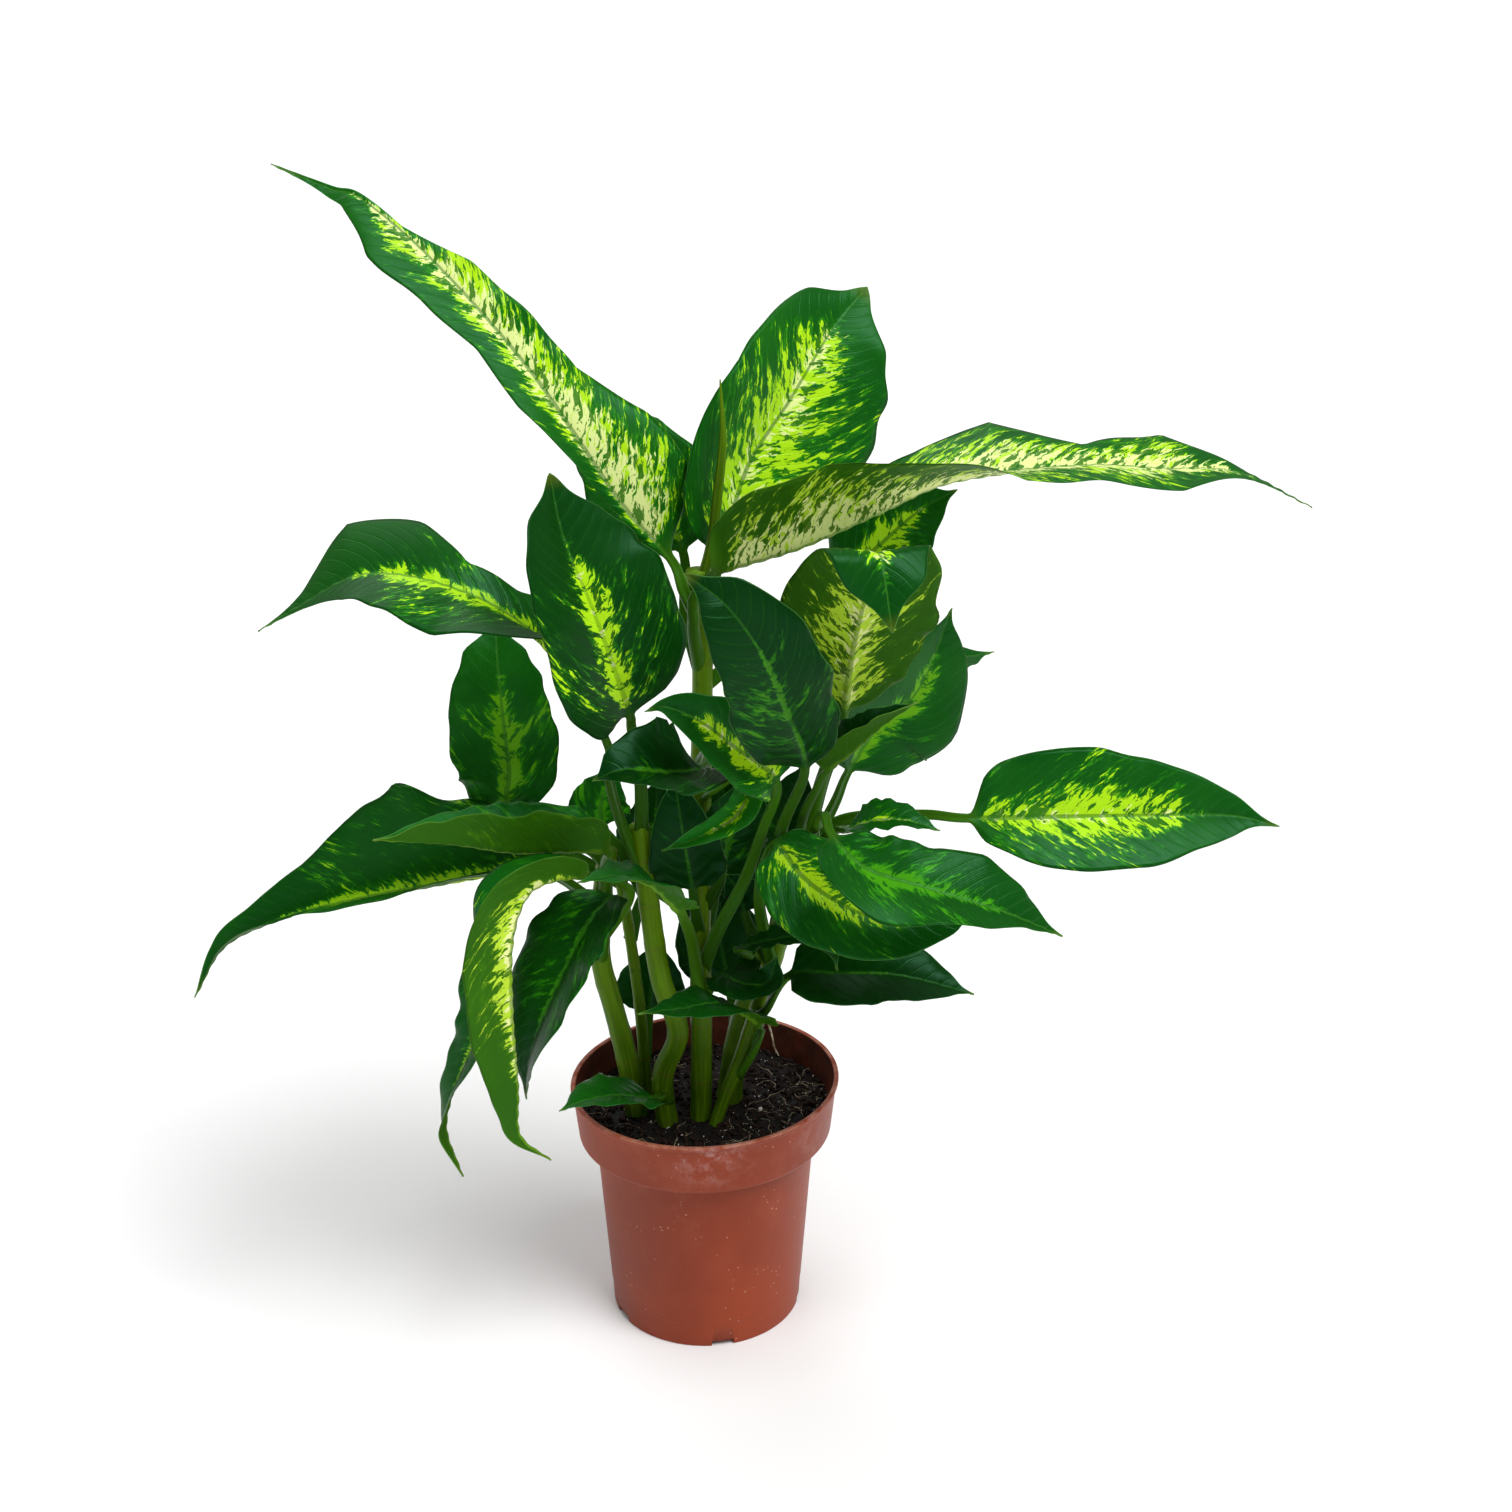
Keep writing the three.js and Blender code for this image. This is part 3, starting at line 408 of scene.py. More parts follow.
        "width": 36, "fold": [[12, 8]], "wave": 2, "colour": (0.1, 0, 0.1),
    },
    "leaf_shade_back_mid": {
        "petiole": [[-1, -5, 180], [3, 8, 188]],
        "rib": [[5, 14, 196], [8, 19, 218], [9, 21, 242], [6, 19, 266]], "face": [[0.1, -0.9, 0.3]],
        "width": 40, "fold": [[8, 14]], "wave": 2, "colour": (0.02, 0, 0),
    },
    "leaf_shade_back_low": {
        "petiole": [[14, 7, 128], [13, 18, 137]],
        "rib": [[11, 23, 145], [8, 27, 162], [4, 29, 182], [-1, 28, 204]], "face": [[0, -0.9, 0.3]],
        "width": 42, "wave": 2, "colour": (0.02, 0, 0),
    },
    "leaf_shade_back_right": {
        "petiole": [[31, 7, 180], [33, 16, 192]],
        "rib": [[34, 20, 200], [36, 24, 218], [39, 25, 238], [44, 22, 256]], "face": [[0, -0.9, 0.3]],
        "width": 34, "wave": 2, "colour": (0.05, 0, 0),
    },
    "leaf_shade_low_left": {
        "petiole": [[-27, 4, 120], [-26, 11, 130]],
        "rib": [[-25, 14, 138], [-24, 15, 150], [-22, 14, 162], [-20, 12, 175]], "face": [[0, -0.9, 0.3]],
        "width": 32, "wave": 1, "colour": (0.02, 0, 0.1),
    },
}

# ---------------------------------------------------------------- how every leaf is made, in mm
CURVE_STEPS = 2400
PETIOLE_STEP = 3.0
FEWEST_PETIOLE_ROWS = 4
BLADE_STEP = 1.8
FEWEST_BLADE_ROWS = 24
END_CROWDING = 0.4
ACROSS = 15
MIDRIB_CROWDING = 1.15
PETIOLE_FOOT_RADIUS = 3.2
PETIOLE_RADIUS = 1.9
PETIOLE_TOP = 0.5
PETIOLE_BELLY = 1.15
CHANNEL_DEPTH = 0.3
CHANNEL_WIDTH = 0.35
BLADE_START = 0.05
BLADE_THICKNESS = 0.42
MARGIN_THICKNESS = 0.16
LEAST_HALF_WIDTH = 0.25
KEEL_DEPTH = 1.7
KEEL_WIDTH = 1.5
KEEL_FADE = 0.8
KEEL_NARROWING = 0.7
GROOVE_DEPTH = 0.35
GROOVE_WIDTH = 1.0
ARCH = 9.0
CREASE = (-0.02, 0.12)
VEIN_SWEEP = 0.62
VEIN_BEND = 0.5
VEIN_PITCH = 7.0
QUILT_HEIGHT = 0.24
RIPPLE_COUNT = 5
RUFFLE = 1.5
RUFFLE_BENDS = 15
DRIP_START = 0.84
DRIP_END = 0.95
DRIP_PINCH = 0.42
EDGE_SWAY = 0.05
EDGE_BENDS = 11
LEAF_SEED = 700
PATTERN_STEP = 13.7


# ---------------------------------------------------------------- shared helpers
def smoothstep(x, low, high):
    t = np.clip((np.asarray(x, float) - low) / (high - low), 0, 1)
    return t * t * (3 - 2 * t)


def unit(v):
    return v / np.linalg.norm(v, axis=-1, keepdims=True)


def square_to(tangent, facing):
    """Directions up and right at each tangent: up is square to it and looks to facing as far as it can."""
    up = unit(facing - np.sum(facing * tangent, axis=1)[:, None] * tangent)
    return up, np.cross(tangent, up)


def full_turn(count):
    return np.arange(count) / count * 2 * math.pi


def circle(radius, height, turn):
    """Places round the Z axis."""
    return np.stack([radius * np.cos(turn), radius * np.sin(turn), height + np.zeros_like(turn)], axis=1)


def catmull_rom(points, steps):
    """Points, and their distance along, on a uniform Catmull-Rom curve whose ends run straight on."""
    p = np.array(points, float)
    p = np.vstack([2 * p[0] - p[1], p, 2 * p[-1] - p[-2]])
    spans = len(points) - 1
    x = np.linspace(0, spans, steps + 1)
    i = np.minimum(x.astype(int), spans - 1)
    t = (x - i)[:, None]
    a, b, c, d = p[i], p[i + 1], p[i + 2], p[i + 3]
    m0, m1 = (c - a) / 2, (d - b) / 2
    line = b + m0 * t + (3 * (c - b) - 2 * m0 - m1) * t**2 + (2 * (b - c) + m0 + m1) * t**3
    reach = np.concatenate([[0], np.cumsum(np.linalg.norm(np.diff(line, axis=0), axis=1))])
    return line, reach


def at_distance(line, reach, distances):
    """Places and unit directions at the given distances along a line of CURVE_STEPS steps."""
    def places(d):
        return np.stack([np.interp(d, reach, line[:, k]) for k in range(3)], axis=1)

    step = reach[-1] / CURVE_STEPS
    return places(distances), unit(places(distances + step) - places(distances - step))


def along(rows, u):
    """Values at u (0..1) along a short list, straight between them."""
    rows = np.array(rows, float)
    stops = np.linspace(0, 1, len(rows)) if len(rows) > 1 else np.array([0.0])
    return np.stack([np.interp(u, stops, rows[:, k]) for k in range(rows.shape[1])], axis=-1)


def soft_noise(rng, u, count):
    """A smooth random line over u (0..1) with about count bends, between -1 and 1."""
    knots = rng.uniform(-1, 1, count + 4)
    line, _ = catmull_rom(np.stack([knots, knots * 0, knots * 0], axis=1), 60 * count)
    return np.interp(u, np.linspace(0, 1, len(line)), line[:, 0])


def tube_faces(rings, sides, flipped=False):
    """Faces of a closed tube of rings, both ends capped; flipped where the rings turn the other way."""
    faces = []
    for r in range(rings - 1):
        for c in range(sides):
            a, b = r * sides + c, r * sides + (c + 1) % sides
            faces.append((a, b, b + sides, a + sides) if flipped else (a, a + sides, b + sides, b))
    first, last = range(sides), range((rings - 1) * sides, rings * sides)
    caps = (first[::-1], last) if flipped else (first, last[::-1])
    return faces + [tuple(cap) for cap in caps]


def mesh_object(name, points_mm, faces, materials, smooth=True, face_material=None):
    """A mesh piece in the row frame, from points in mm."""
    mesh = bpy.data.meshes.new(name)
    mesh.from_pydata((np.asarray(points_mm) * MM).tolist(), [], faces)
    for material in materials:
        mesh.materials.append(material)
    if face_material is not None:
        mesh.polygons.foreach_set("material_index", face_material)
    mesh.polygons.foreach_set("use_smooth", [smooth] * len(mesh.polygons))
    mesh.update()
    piece = bpy.data.objects.new(name, mesh)
    bpy.context.scene.collection.objects.link(piece)
    return piece


def store(piece, name, values):
    """Keeps a vector for each vertex, for the material to read."""
    layer = piece.data.attributes.new(name, "FLOAT_VECTOR", "POINT")
    layer.data.foreach_set("vector", np.asarray(values, np.float32).ravel())


# ---------------------------------------------------------------- shader helpers
FLOAT = "NodeSocketFloat"
COLOUR = "NodeSocketColor"
VECTOR = "NodeSocketVector"


class Graph:
    """Short ways to lay shader nodes."""

    def __init__(self, tree):
        self.tree = tree

    def node(self, kind, **settings):
        made = self.tree.nodes.new(kind)
        for key, value in settings.items():
            setattr(made, key, value)
        return made

    def feed(self, socket, value):
        if isinstance(value, bpy.types.NodeSocket):
            self.tree.links.new(value, socket)
        elif value is not None:
            socket.default_value = value

    def math(self, operation, a, b=None, clamp=False):
        made = self.node("ShaderNodeMath", operation=operation, use_clamp=clamp)
        self.feed(made.inputs[0], a)
        self.feed(made.inputs[1], b)
        return made.outputs[0]

    def times(self, a, b):
        return self.math("MULTIPLY", a, b)

    def plus(self, a, b):
        return self.math("ADD", a, b)

    def minus(self, a, b, clamp=False):
        return self.math("SUBTRACT", a, b, clamp)

    def ramp(self, value, low, high, to_low=0.0, to_high=1.0, smooth=True):
        """Value mapped from low..high to to_low..to_high, clamped."""
        made = self.node("ShaderNodeMapRange", interpolation_type="SMOOTHSTEP" if smooth else "LINEAR")
        for socket, given in zip(made.inputs, (value, low, high, to_low, to_high)):
            self.feed(socket, given)
        return made.outputs[0]

    def mix(self, factor, a, b):
        made = self.node("ShaderNodeMix", data_type="RGBA")
        self.feed(made.inputs[0], factor)
        self.feed(made.inputs[6], a)
        self.feed(made.inputs[7], b)
        return made.outputs[2]

    def vector(self, x, y, z):
        made = self.node("ShaderNodeCombineXYZ")
        for socket, given in zip(made.inputs, (x, y, z)):
            self.feed(socket, given)
        return made.outputs[0]

    def parts(self, vector):
        made = self.node("ShaderNodeSeparateXYZ")
        self.feed(made.inputs[0], vector)
        return made.outputs

    def noise(self, vector, scale, detail=2.0, roughness=0.5):
        made = self.node("ShaderNodeTexNoise")
        self.feed(made.inputs["Vector"], vector)
        self.feed(made.inputs["Scale"], scale)
        made.inputs["Detail"].default_value = detail
        made.inputs["Roughness"].default_value = roughness
        return made.outputs["Fac"]

    def cells(self, vector, scale):
        """Distance to the nearest of some scattered points."""
        made = self.node("ShaderNodeTexVoronoi", feature="F1")
        self.feed(made.inputs["Vector"], vector)
        made.inputs["Scale"].default_value = scale
        return made.outputs["Distance"]

    def kept(self, name):
        """A vector that the mesh keeps for each vertex."""
        return self.node("ShaderNodeAttribute", attribute_name=name).outputs["Vector"]

    def place(self):
        return self.node("ShaderNodeTexCoord").outputs["Object"]

    def bump(self, height, strength, distance):
        made = self.node("ShaderNodeBump")
        made.inputs["Strength"].default_value = strength
        made.inputs["Distance"].default_value = distance
        self.feed(made.inputs["Height"], height)
        return made.outputs["Normal"]


def rgb(red, green, blue):
    return (red, green, blue, 1.0)


def new_group(name, inputs, outputs):
    """An empty shader group with named sockets: its tree, graph, given values and output node."""
    tree = bpy.data.node_groups.new(name, "ShaderNodeTree")
    for label, kind in inputs:
        tree.interface.new_socket(label, in_out="INPUT", socket_type=kind)
    for label, kind in outputs:
        tree.interface.new_socket(label, in_out="OUTPUT", socket_type=kind)
    graph = Graph(tree)
    return tree, graph, graph.node("NodeGroupInput").outputs, graph.node("NodeGroupOutput")


def use_group(graph, tree, **values):
    """Places a group with its values given by input name."""
    made = graph.node("ShaderNodeGroup", node_tree=tree)
    for label, value in values.items():
        graph.feed(made.inputs[label], value)
    return made.outputs


def new_material(name):
    material = bpy.data.materials.new(name)
    material.use_nodes = True
    material.node_tree.nodes.clear()
    graph = Graph(material.node_tree)
    surface = graph.node("ShaderNodeBsdfPrincipled")
    output = graph.node("ShaderNodeOutputMaterial")
    graph.tree.links.new(surface.outputs[0], output.inputs["Surface"])
    return material, graph, surface, output


# ---------------------------------------------------------------- shader groups
# What a leaf's mesh keeps: Place is (vein, across, to margin) in mm; Part is (along, stalk, across), each
# 0..1; Kind is (light, cream, tone), where a low tone paints shade; Seed is (seed, core side, 0).
LEAF_FACTS = [("Place", VECTOR), ("Part", VECTOR), ("Kind", VECTOR), ("Seed", VECTOR)]
SIDE_COLOURS = ["Painted_Shade", "Fresh", "Halo", "Lime", "Cream", "Rib", "Margin"]
# The stalk's and midrib's greens for a low and a high tone; the shaded one is painted shade.
STALK_SHADED = rgb(0.040, 0.13, 0.004)
STALK_FRESH = rgb(0.080, 0.22, 0.006)
DRY_TIP = rgb(0.13, 0.16, 0.012)


def variegation_group():
    """Where a blade is lime and where it is cream: blotches drawn out along the side veins, round the rib.

    Halo is the soft brighter green round the lime, and Cream lies within the lime.
    """
    tree, g, given, out = new_group("variegation", LEAF_FACTS,
                                    [("Halo", FLOAT), ("Lime", FLOAT), ("Cream", FLOAT)])
    vein, across, _ = g.parts(given["Place"])
    length, stalk, share = g.parts(given["Part"])
    light, cream, _ = g.parts(given["Kind"])
    seed, bias, _ = g.parts(given["Seed"])
    sway = g.noise(g.vector(g.times(vein, 0.2), g.times(across, 0.2), seed), 1.0)
    bent = g.plus(vein, g.times(sway, 6.0))

    def blotches(per_vein, per_reach, shift, detail=2.0, roughness=0.5):
        where = g.vector(g.times(bent, per_vein), g.times(across, per_reach), g.plus(seed, shift))
        return g.noise(where, 1.0, detail=detail, roughness=roughness)

    def blend(broad, fine, fine_share):
        return g.plus(g.times(broad, 1 - fine_share), g.times(fine, fine_share))

    field = blend(blotches(per_vein=0.13, per_reach=0.06, shift=0.0),
                  blotches(per_vein=0.62, per_reach=0.22, shift=5.0, detail=4.0, roughness=0.6),
                  fine_share=0.58)
    half_light = g.times(light, g.plus(g.times(g.math("SIGN", across), bias), 1.0))
    reach = g.math("DIVIDE", share, g.plus(half_light, 0.02))
    tip = g.ramp(light, 0.3, 0.8, to_low=0.84, to_high=0.98)
    open_blade = g.times(g.ramp(length, 0.0, 0.08), g.ramp(length, tip, g.minus(tip, 0.26)))
    shut = g.times(g.minus(1.0, open_blade), 0.3)
    thin_spots = g.times(g.minus(blotches(per_vein=0.035, per_reach=0.01, shift=31.0), 0.5), 0.30)
    plain = g.plus(g.ramp(light, 0.04, 0.0, to_high=0.5), thin_spots)
    need = g.plus(g.plus(g.ramp(reach, 0.0, 1.25, to_low=0.385, to_high=0.62, smooth=False), shut), plain)
    over = g.minus(field, need)
    fleck_field = blotches(per_vein=0.36, per_reach=0.17, shift=11.0, detail=3.0, roughness=0.6)
    fleck_need = g.ramp(light, 0.2, 0.9, to_low=0.575, to_high=0.535)
    flecks = g.ramp(g.minus(fleck_field, fleck_need), 0.0, 0.008)
    lime = g.minus(g.ramp(over, -0.004, 0.010), g.times(flecks, 0.94), clamp=True)
    lime = g.times(lime, g.ramp(cream, 0.0, 0.1, to_low=0.06))
    halo = g.times(g.ramp(over, -0.10, 0.03), g.minus(1.0, g.times(flecks, 0.75)))
    pale_field = blend(blotches(per_vein=0.2, per_reach=0.1, shift=17.0),
                       blotches(per_vein=0.9, per_reach=0.28, shift=23.0, detail=3.0), fine_share=0.5)
    pale_need = g.plus(g.ramp(reach, 0.0, 0.9, to_low=0.32, to_high=0.56, smooth=False),
                       g.ramp(cream, 0.0, 1.0, to_low=0.3, to_high=0.03, smooth=False))
    pale = g.ramp(g.minus(pale_field, pale_need), -0.012, 0.02)
    blade = g.minus(1.0, stalk, clamp=True)
    g.feed(out.inputs["Halo"], g.times(halo, blade))
    g.feed(out.inputs["Lime"], g.times(lime, blade))
    g.feed(out.inputs["Cream"], g.times(g.times(pale, lime), blade))
    return tree


def vein_group():
    """The blade's relief: side veins that leave the midrib and sweep to the tip, and their fine net."""
    tree, g, given, out = new_group(
        "leaf_veins", LEAF_FACTS[:2],
        [("Height", FLOAT), ("Line", FLOAT), ("Midrib", FLOAT), ("Margin", FLOAT)])
    vein, across, to_margin = g.parts(given["Place"])
    length, stalk, share = g.parts(given["Part"])
    sway = g.noise(g.vector(g.times(vein, 0.1), g.times(across, 0.1), 0.0), 1.0)
    wandering = g.plus(vein, g.times(sway, 2.4))

    def lines(pitch, width):
        part = g.math("FRACT", g.math("DIVIDE", wandering, pitch))
        return g.ramp(g.math("ABSOLUTE", g.minus(part, 0.5)), width, 0.0)

    line = g.times(lines(VEIN_PITCH, 0.12), g.ramp(share, 0.98, 0.7))
    net = lines(VEIN_PITCH / 5, 0.35)
    rib_width = g.ramp(length, 0.0, 1.0, to_low=1.5, to_high=0.3, smooth=False)
    midrib = g.ramp(g.math("ABSOLUTE", across), rib_width, g.times(rib_width, 0.6))
    g.feed(out.inputs["Height"], g.minus(1.0, g.plus(g.times(line, 0.6), g.times(net, 0.15))))
    g.feed(out.inputs["Line"], line)
    g.feed(out.inputs["Midrib"], g.math("MAXIMUM", midrib, stalk))
    g.feed(out.inputs["Margin"], g.times(g.ramp(to_margin, 0.45, 0.2), g.minus(1.0, stalk, clamp=True)))
    return tree


def leaf_skin_group():
    """A blade's and its stalk's colour, from one side's colours and painted shade, with relief and a soft
    cloud.
    """
    tree, g, given, out = new_group(
        "leaf_skin", LEAF_FACTS + [(label, COLOUR) for label in SIDE_COLOURS],
        [("Colour", COLOUR), ("Height", FLOAT), ("Cloud", FLOAT)])
    place, part, kind, seed = (given[label] for label, _ in LEAF_FACTS)
    halo, lime, cream = use_group(g, VARIEGATION, Place=place, Part=part, Kind=kind, Seed=seed)
    height, line, midrib, margin = use_group(g, LEAF_VEINS, Place=place, Part=part)
    _, _, tone_and_shade = g.parts(kind)
    length, stalk, _ = g.parts(part)
    cloud = g.noise(g.place(), 28.0, detail=3.0)
    # Painted shade: a low tone gives a near-black green and a fainter cloud, halo and midrib.
    green = g.mix(tone_and_shade, given["Painted_Shade"], given["Fresh"])
    cloudy = g.times(g.ramp(cloud, 0.35, 0.75), g.ramp(tone_and_shade, 0.0, 1.0, to_low=0.02, to_high=0.20))
    green = g.mix(cloudy, green, given["Halo"])
    green = g.mix(g.times(line, 0.05), green, given["Halo"])
    halo_share = g.times(halo, g.ramp(tone_and_shade, 0.0, 0.3, to_low=0.4, to_high=0.85))
    colour = g.mix(halo_share, green, given["Halo"])
    colour = g.mix(lime, colour, given["Lime"])
    colour = g.mix(cream, colour, given["Cream"])
    rib = g.mix(stalk, given["Rib"], g.mix(tone_and_shade, STALK_SHADED, STALK_FRESH))
    rib_share = g.math("MAXIMUM", g.ramp(tone_and_shade, 0.0, 0.4, to_low=0.3, to_high=0.7), g.times(stalk, 0.7))
    colour = g.mix(g.times(midrib, rib_share), colour, rib)
    colour = g.mix(g.ramp(length, 0.93, 1.0, to_high=0.55), colour, DRY_TIP)
    g.feed(out.inputs["Colour"], g.mix(g.times(margin, 0.5), colour, given["Margin"]))
    g.feed(out.inputs["Height"], height)
    g.feed(out.inputs["Cloud"], cloud)
    return tree


def speckle_group():
    """Two close colours, speckled."""
    tree, g, given, out = new_group("speckle", [("Dark", COLOUR), ("Pale", COLOUR), ("Fineness", FLOAT)],
                                    [("Colour", COLOUR), ("Spots", FLOAT)])
    spots = g.noise(g.place(), given["Fineness"], detail=4.0)
    g.feed(out.inputs["Colour"], g.mix(g.ramp(spots, 0.35, 0.65), given["Dark"], given["Pale"]))
    g.feed(out.inputs["Spots"], spots)
    return tree


VARIEGATION = variegation_group()
LEAF_VEINS = vein_group()
LEAF_SKIN = leaf_skin_group()
SPECKLE = speckle_group()

# ---------------------------------------------------------------- materials
# The darkest green of each side, used at a low tone, is painted shade for leaves in the shade of others.
UPPER_SIDE = {
    "Painted_Shade": rgb(0.001, 0.028, 0.002), "Fresh": rgb(0.008, 0.150, 0.008), "Halo": rgb(0.045, 0.38, 0.004),
    "Lime": rgb(0.50, 0.86, 0.010), "Cream": rgb(0.88, 0.97, 0.38), "Rib": rgb(0.040, 0.19, 0.015),
    "Margin": rgb(0.12, 0.36, 0.08),
}
UNDERSIDE = {
    "Painted_Shade": rgb(0.030, 0.112, 0.003), "Fresh": rgb(0.030, 0.140, 0.003), "Halo": rgb(0.075, 0.25, 0.004),
    "Lime": rgb(0.58, 0.84, 0.045), "Cream": rgb(0.96, 1.0, 0.42), "Rib": rgb(0.16, 0.34, 0.015),
    "Margin": rgb(0.20, 0.42, 0.06),
}
LEAF_GLINT = rgb(0.30, 0.80, 0.50)
LEAF_GLOW = rgb(0.25, 0.60, 0.01)
CANE_LOW = rgb(0.040, 0.098, 0.001)
CANE_HIGH = rgb(0.085, 0.180, 0.002)
CANE_STREAK = rgb(0.125, 0.24, 0.003)
CANE_SPOT = rgb(0.022, 0.060, 0.002)
CANE_SCAR = rgb(0.10, 0.09, 0.015)
CANE_GLINT = rgb(0.45, 0.80, 0.30)
POT_DARK = rgb(0.225, 0.032, 0.009)
POT_PALE = rgb(0.290, 0.045, 0.013)
POT_DUST = rgb(0.36, 0.105, 0.062)
POT_SPECK = rgb(0.62, 0.36, 0.28)
POT_WORN = rgb(0.58, 0.30, 0.21)
POT_SMEAR = rgb(0.55, 0.33, 0.31)
POT_SHADE_AND_GRIME = rgb(0.050, 0.014, 0.008)
PEAT_DARK = rgb(0.0012, 0.0009, 0.0008)
PEAT_PALE = rgb(0.014, 0.0065, 0.0042)
PEAT_RED = rgb(0.014, 0.005, 0.003)
FLOOR_DARK = rgb(0.86, 0.86, 0.86)
FLOOR_PALE = rgb(0.88, 0.88, 0.88)


def leaf_material(name, colours, gloss, shine, relief, through):
    """One side of a blade: glossy to the roughness range gloss, with a share of light coming through."""
    material, g, surface, output = new_material(name)
    colour, height, cloud = use_group(
        g, LEAF_SKIN, Place=g.kept("leaf_place"), Part=g.kept("leaf_part"), Kind=g.kept("leaf_kind"),
        Seed=g.kept("leaf_seed"), **colours)
    g.feed(surface.inputs["Base Color"], colour)
    g.feed(surface.inputs["Roughness"], g.ramp(cloud, 0.3, 0.7, *gloss))
    surface.inputs["Specular IOR Level"].default_value = shine
    surface.inputs["Specular Tint"].default_value = LEAF_GLINT
    g.feed(surface.inputs["Normal"], g.bump(height, relief, 0.0005))
    glow = g.node("ShaderNodeBsdfTranslucent")
    g.feed(glow.inputs["Color"], g.mix(0.45, colour, LEAF_GLOW))
    both = g.node("ShaderNodeMixShader")
    both.inputs[0].default_value = through
    g.feed(both.inputs[1], surface.outputs[0])
    g.feed(both.inputs[2], glow.outputs[0])
    g.feed(output.inputs["Surface"], both.outputs[0])
    return material


def cane_material():
    """Fleshy green stem: olive, paler above, with brown leaf scars and fine upright streaks."""
    material, g, surface, _ = new_material("cane_skin")
    reach, turn, scar = g.parts(g.kept("cane_place"))
    streak = g.noise(g.vector(g.times(reach, 0.03), g.times(turn, 5.0), 0.0), 1.0, detail=4.0)
    spots = g.noise(g.place(), 160.0, detail=3.0)
    green = g.mix(g.ramp(reach, 10.0, 130.0), CANE_LOW, CANE_HIGH)
    green = g.mix(g.ramp(streak, 0.4, 0.65, to_high=0.6), green, CANE_STREAK)
    green = g.mix(g.ramp(spots, 0.62, 0.75, to_high=0.4), green, CANE_SPOT)
    g.feed(surface.inputs["Base Color"], g.mix(g.times(scar, 0.35), green, CANE_SCAR))
    g.feed(surface.inputs["Roughness"], g.ramp(streak, 0.3, 0.7, to_low=0.34, to_high=0.5))
    surface.inputs["Specular IOR Level"].default_value = 0.25
    surface.inputs["Specular Tint"].default_value = CANE_GLINT
    surface.inputs["Subsurface Weight"].default_value = 0.12
    surface.inputs["Subsurface Radius"].default_value = (0.004, 0.006, 0.001)
    surface.inputs["Subsurface Scale"].default_value = 0.5
    g.feed(surface.inputs["Normal"], g.bump(g.plus(streak, g.times(spots, 0.4)), 0.2, 0.0006))
    return material


def pot_material():
    """Terracotta-coloured plastic: mottled, dusty, speckled, scuffed pale along the lip and the edges."""
    material, g, surface, _ = new_material("terracotta_plastic")
    place = g.place()
    _, _, height = g.parts(place)
    inside, lip, scuff = g.parts(g.kept("pot_place"))
    mottle = g.noise(place, 16.0, detail=3.0)
    grain = g.noise(place, 420.0, detail=3.0)
    colour = g.mix(g.ramp(mottle, 0.35, 0.68), POT_DARK, POT_PALE)
    film = g.times(g.ramp(g.noise(place, 70.0, detail=6.0, roughness=0.7), 0.46, 0.75),
                   g.ramp(height, 0.02, 0.115, to_low=0.06, to_high=0.32))
    colour = g.mix(film, colour, POT_DUST)
    specks = g.times(g.ramp(g.cells(place, 330.0), 0.17, 0.09), g.ramp(g.noise(place, 60.0), 0.54, 0.62))
    colour = g.mix(g.times(specks, 0.55), colour, POT_SPECK)
    worn = g.times(lip, g.ramp(g.noise(place, 120.0, detail=6.0, roughness=0.7), 0.38, 0.66))
    colour = g.mix(g.times(worn, 0.45), colour, POT_WORN)
    smear = g.times(scuff, g.ramp(g.noise(place, 150.0, detail=6.0, roughness=0.75), 0.44, 0.62))
    colour = g.mix(g.times(smear, 0.75), colour, POT_SMEAR)
    # Painted shade, with some grime: the inside of the collar is darkened almost to black.
    shade_and_grime = g.ramp(g.noise(place, 90.0, detail=4.0), 0.3, 0.7, to_low=0.7, to_high=0.95)
    g.feed(surface.inputs["Base Color"], g.mix(g.times(inside, shade_and_grime), colour, POT_SHADE_AND_GRIME))
    g.feed(surface.inputs["Roughness"], g.ramp(g.plus(mottle, film), 0.3, 1.1, to_low=0.42, to_high=0.6))
    surface.inputs["Specular IOR Level"].default_value = 0.22
    g.feed(surface.inputs["Normal"], g.bump(g.plus(grain, g.times(smear, 0.8)), 0.12, 0.0004))
    return material


def soil_material():
    """Moist peat: near black, browner on its lumps, with redder patches."""
    material, g, surface, _ = new_material("moist_peat")
    place = g.place()
    lumps = g.noise(place, 260.0, detail=6.0, roughness=0.7)
    patch = g.noise(place, 70.0, detail=3.0)
    colour = g.mix(g.ramp(lumps, 0.4, 0.72), PEAT_DARK, PEAT_PALE)
    colour = g.mix(g.ramp(patch, 0.55, 0.75, to_high=0.5), colour, PEAT_RED)
    g.feed(surface.inputs["Base Color"], colour)
    g.feed(surface.inputs["Roughness"], g.ramp(lumps, 0.3, 0.7, to_low=0.55, to_high=0.95))
    surface.inputs["Specular IOR Level"].default_value = 0.25
    g.feed(surface.inputs["Normal"], g.bump(lumps, 0.9, 0.0012))
    return material


def loose_material(name, dark, pale, fineness, roughness):
    """A small loose thing's material: two close colours, speckled."""
    material, g, surface, _ = new_material(name)
    colour, spots = use_group(g, SPECKLE, Dark=dark, Pale=pale, Fineness=fineness)
    g.feed(surface.inputs["Base Color"], colour)
    surface.inputs["Roughness"].default_value = roughness
    surface.inputs["Specular IOR Level"].default_value = 0.25
    g.feed(surface.inputs["Normal"], g.bump(spots, 0.4, 0.0004))
    return material


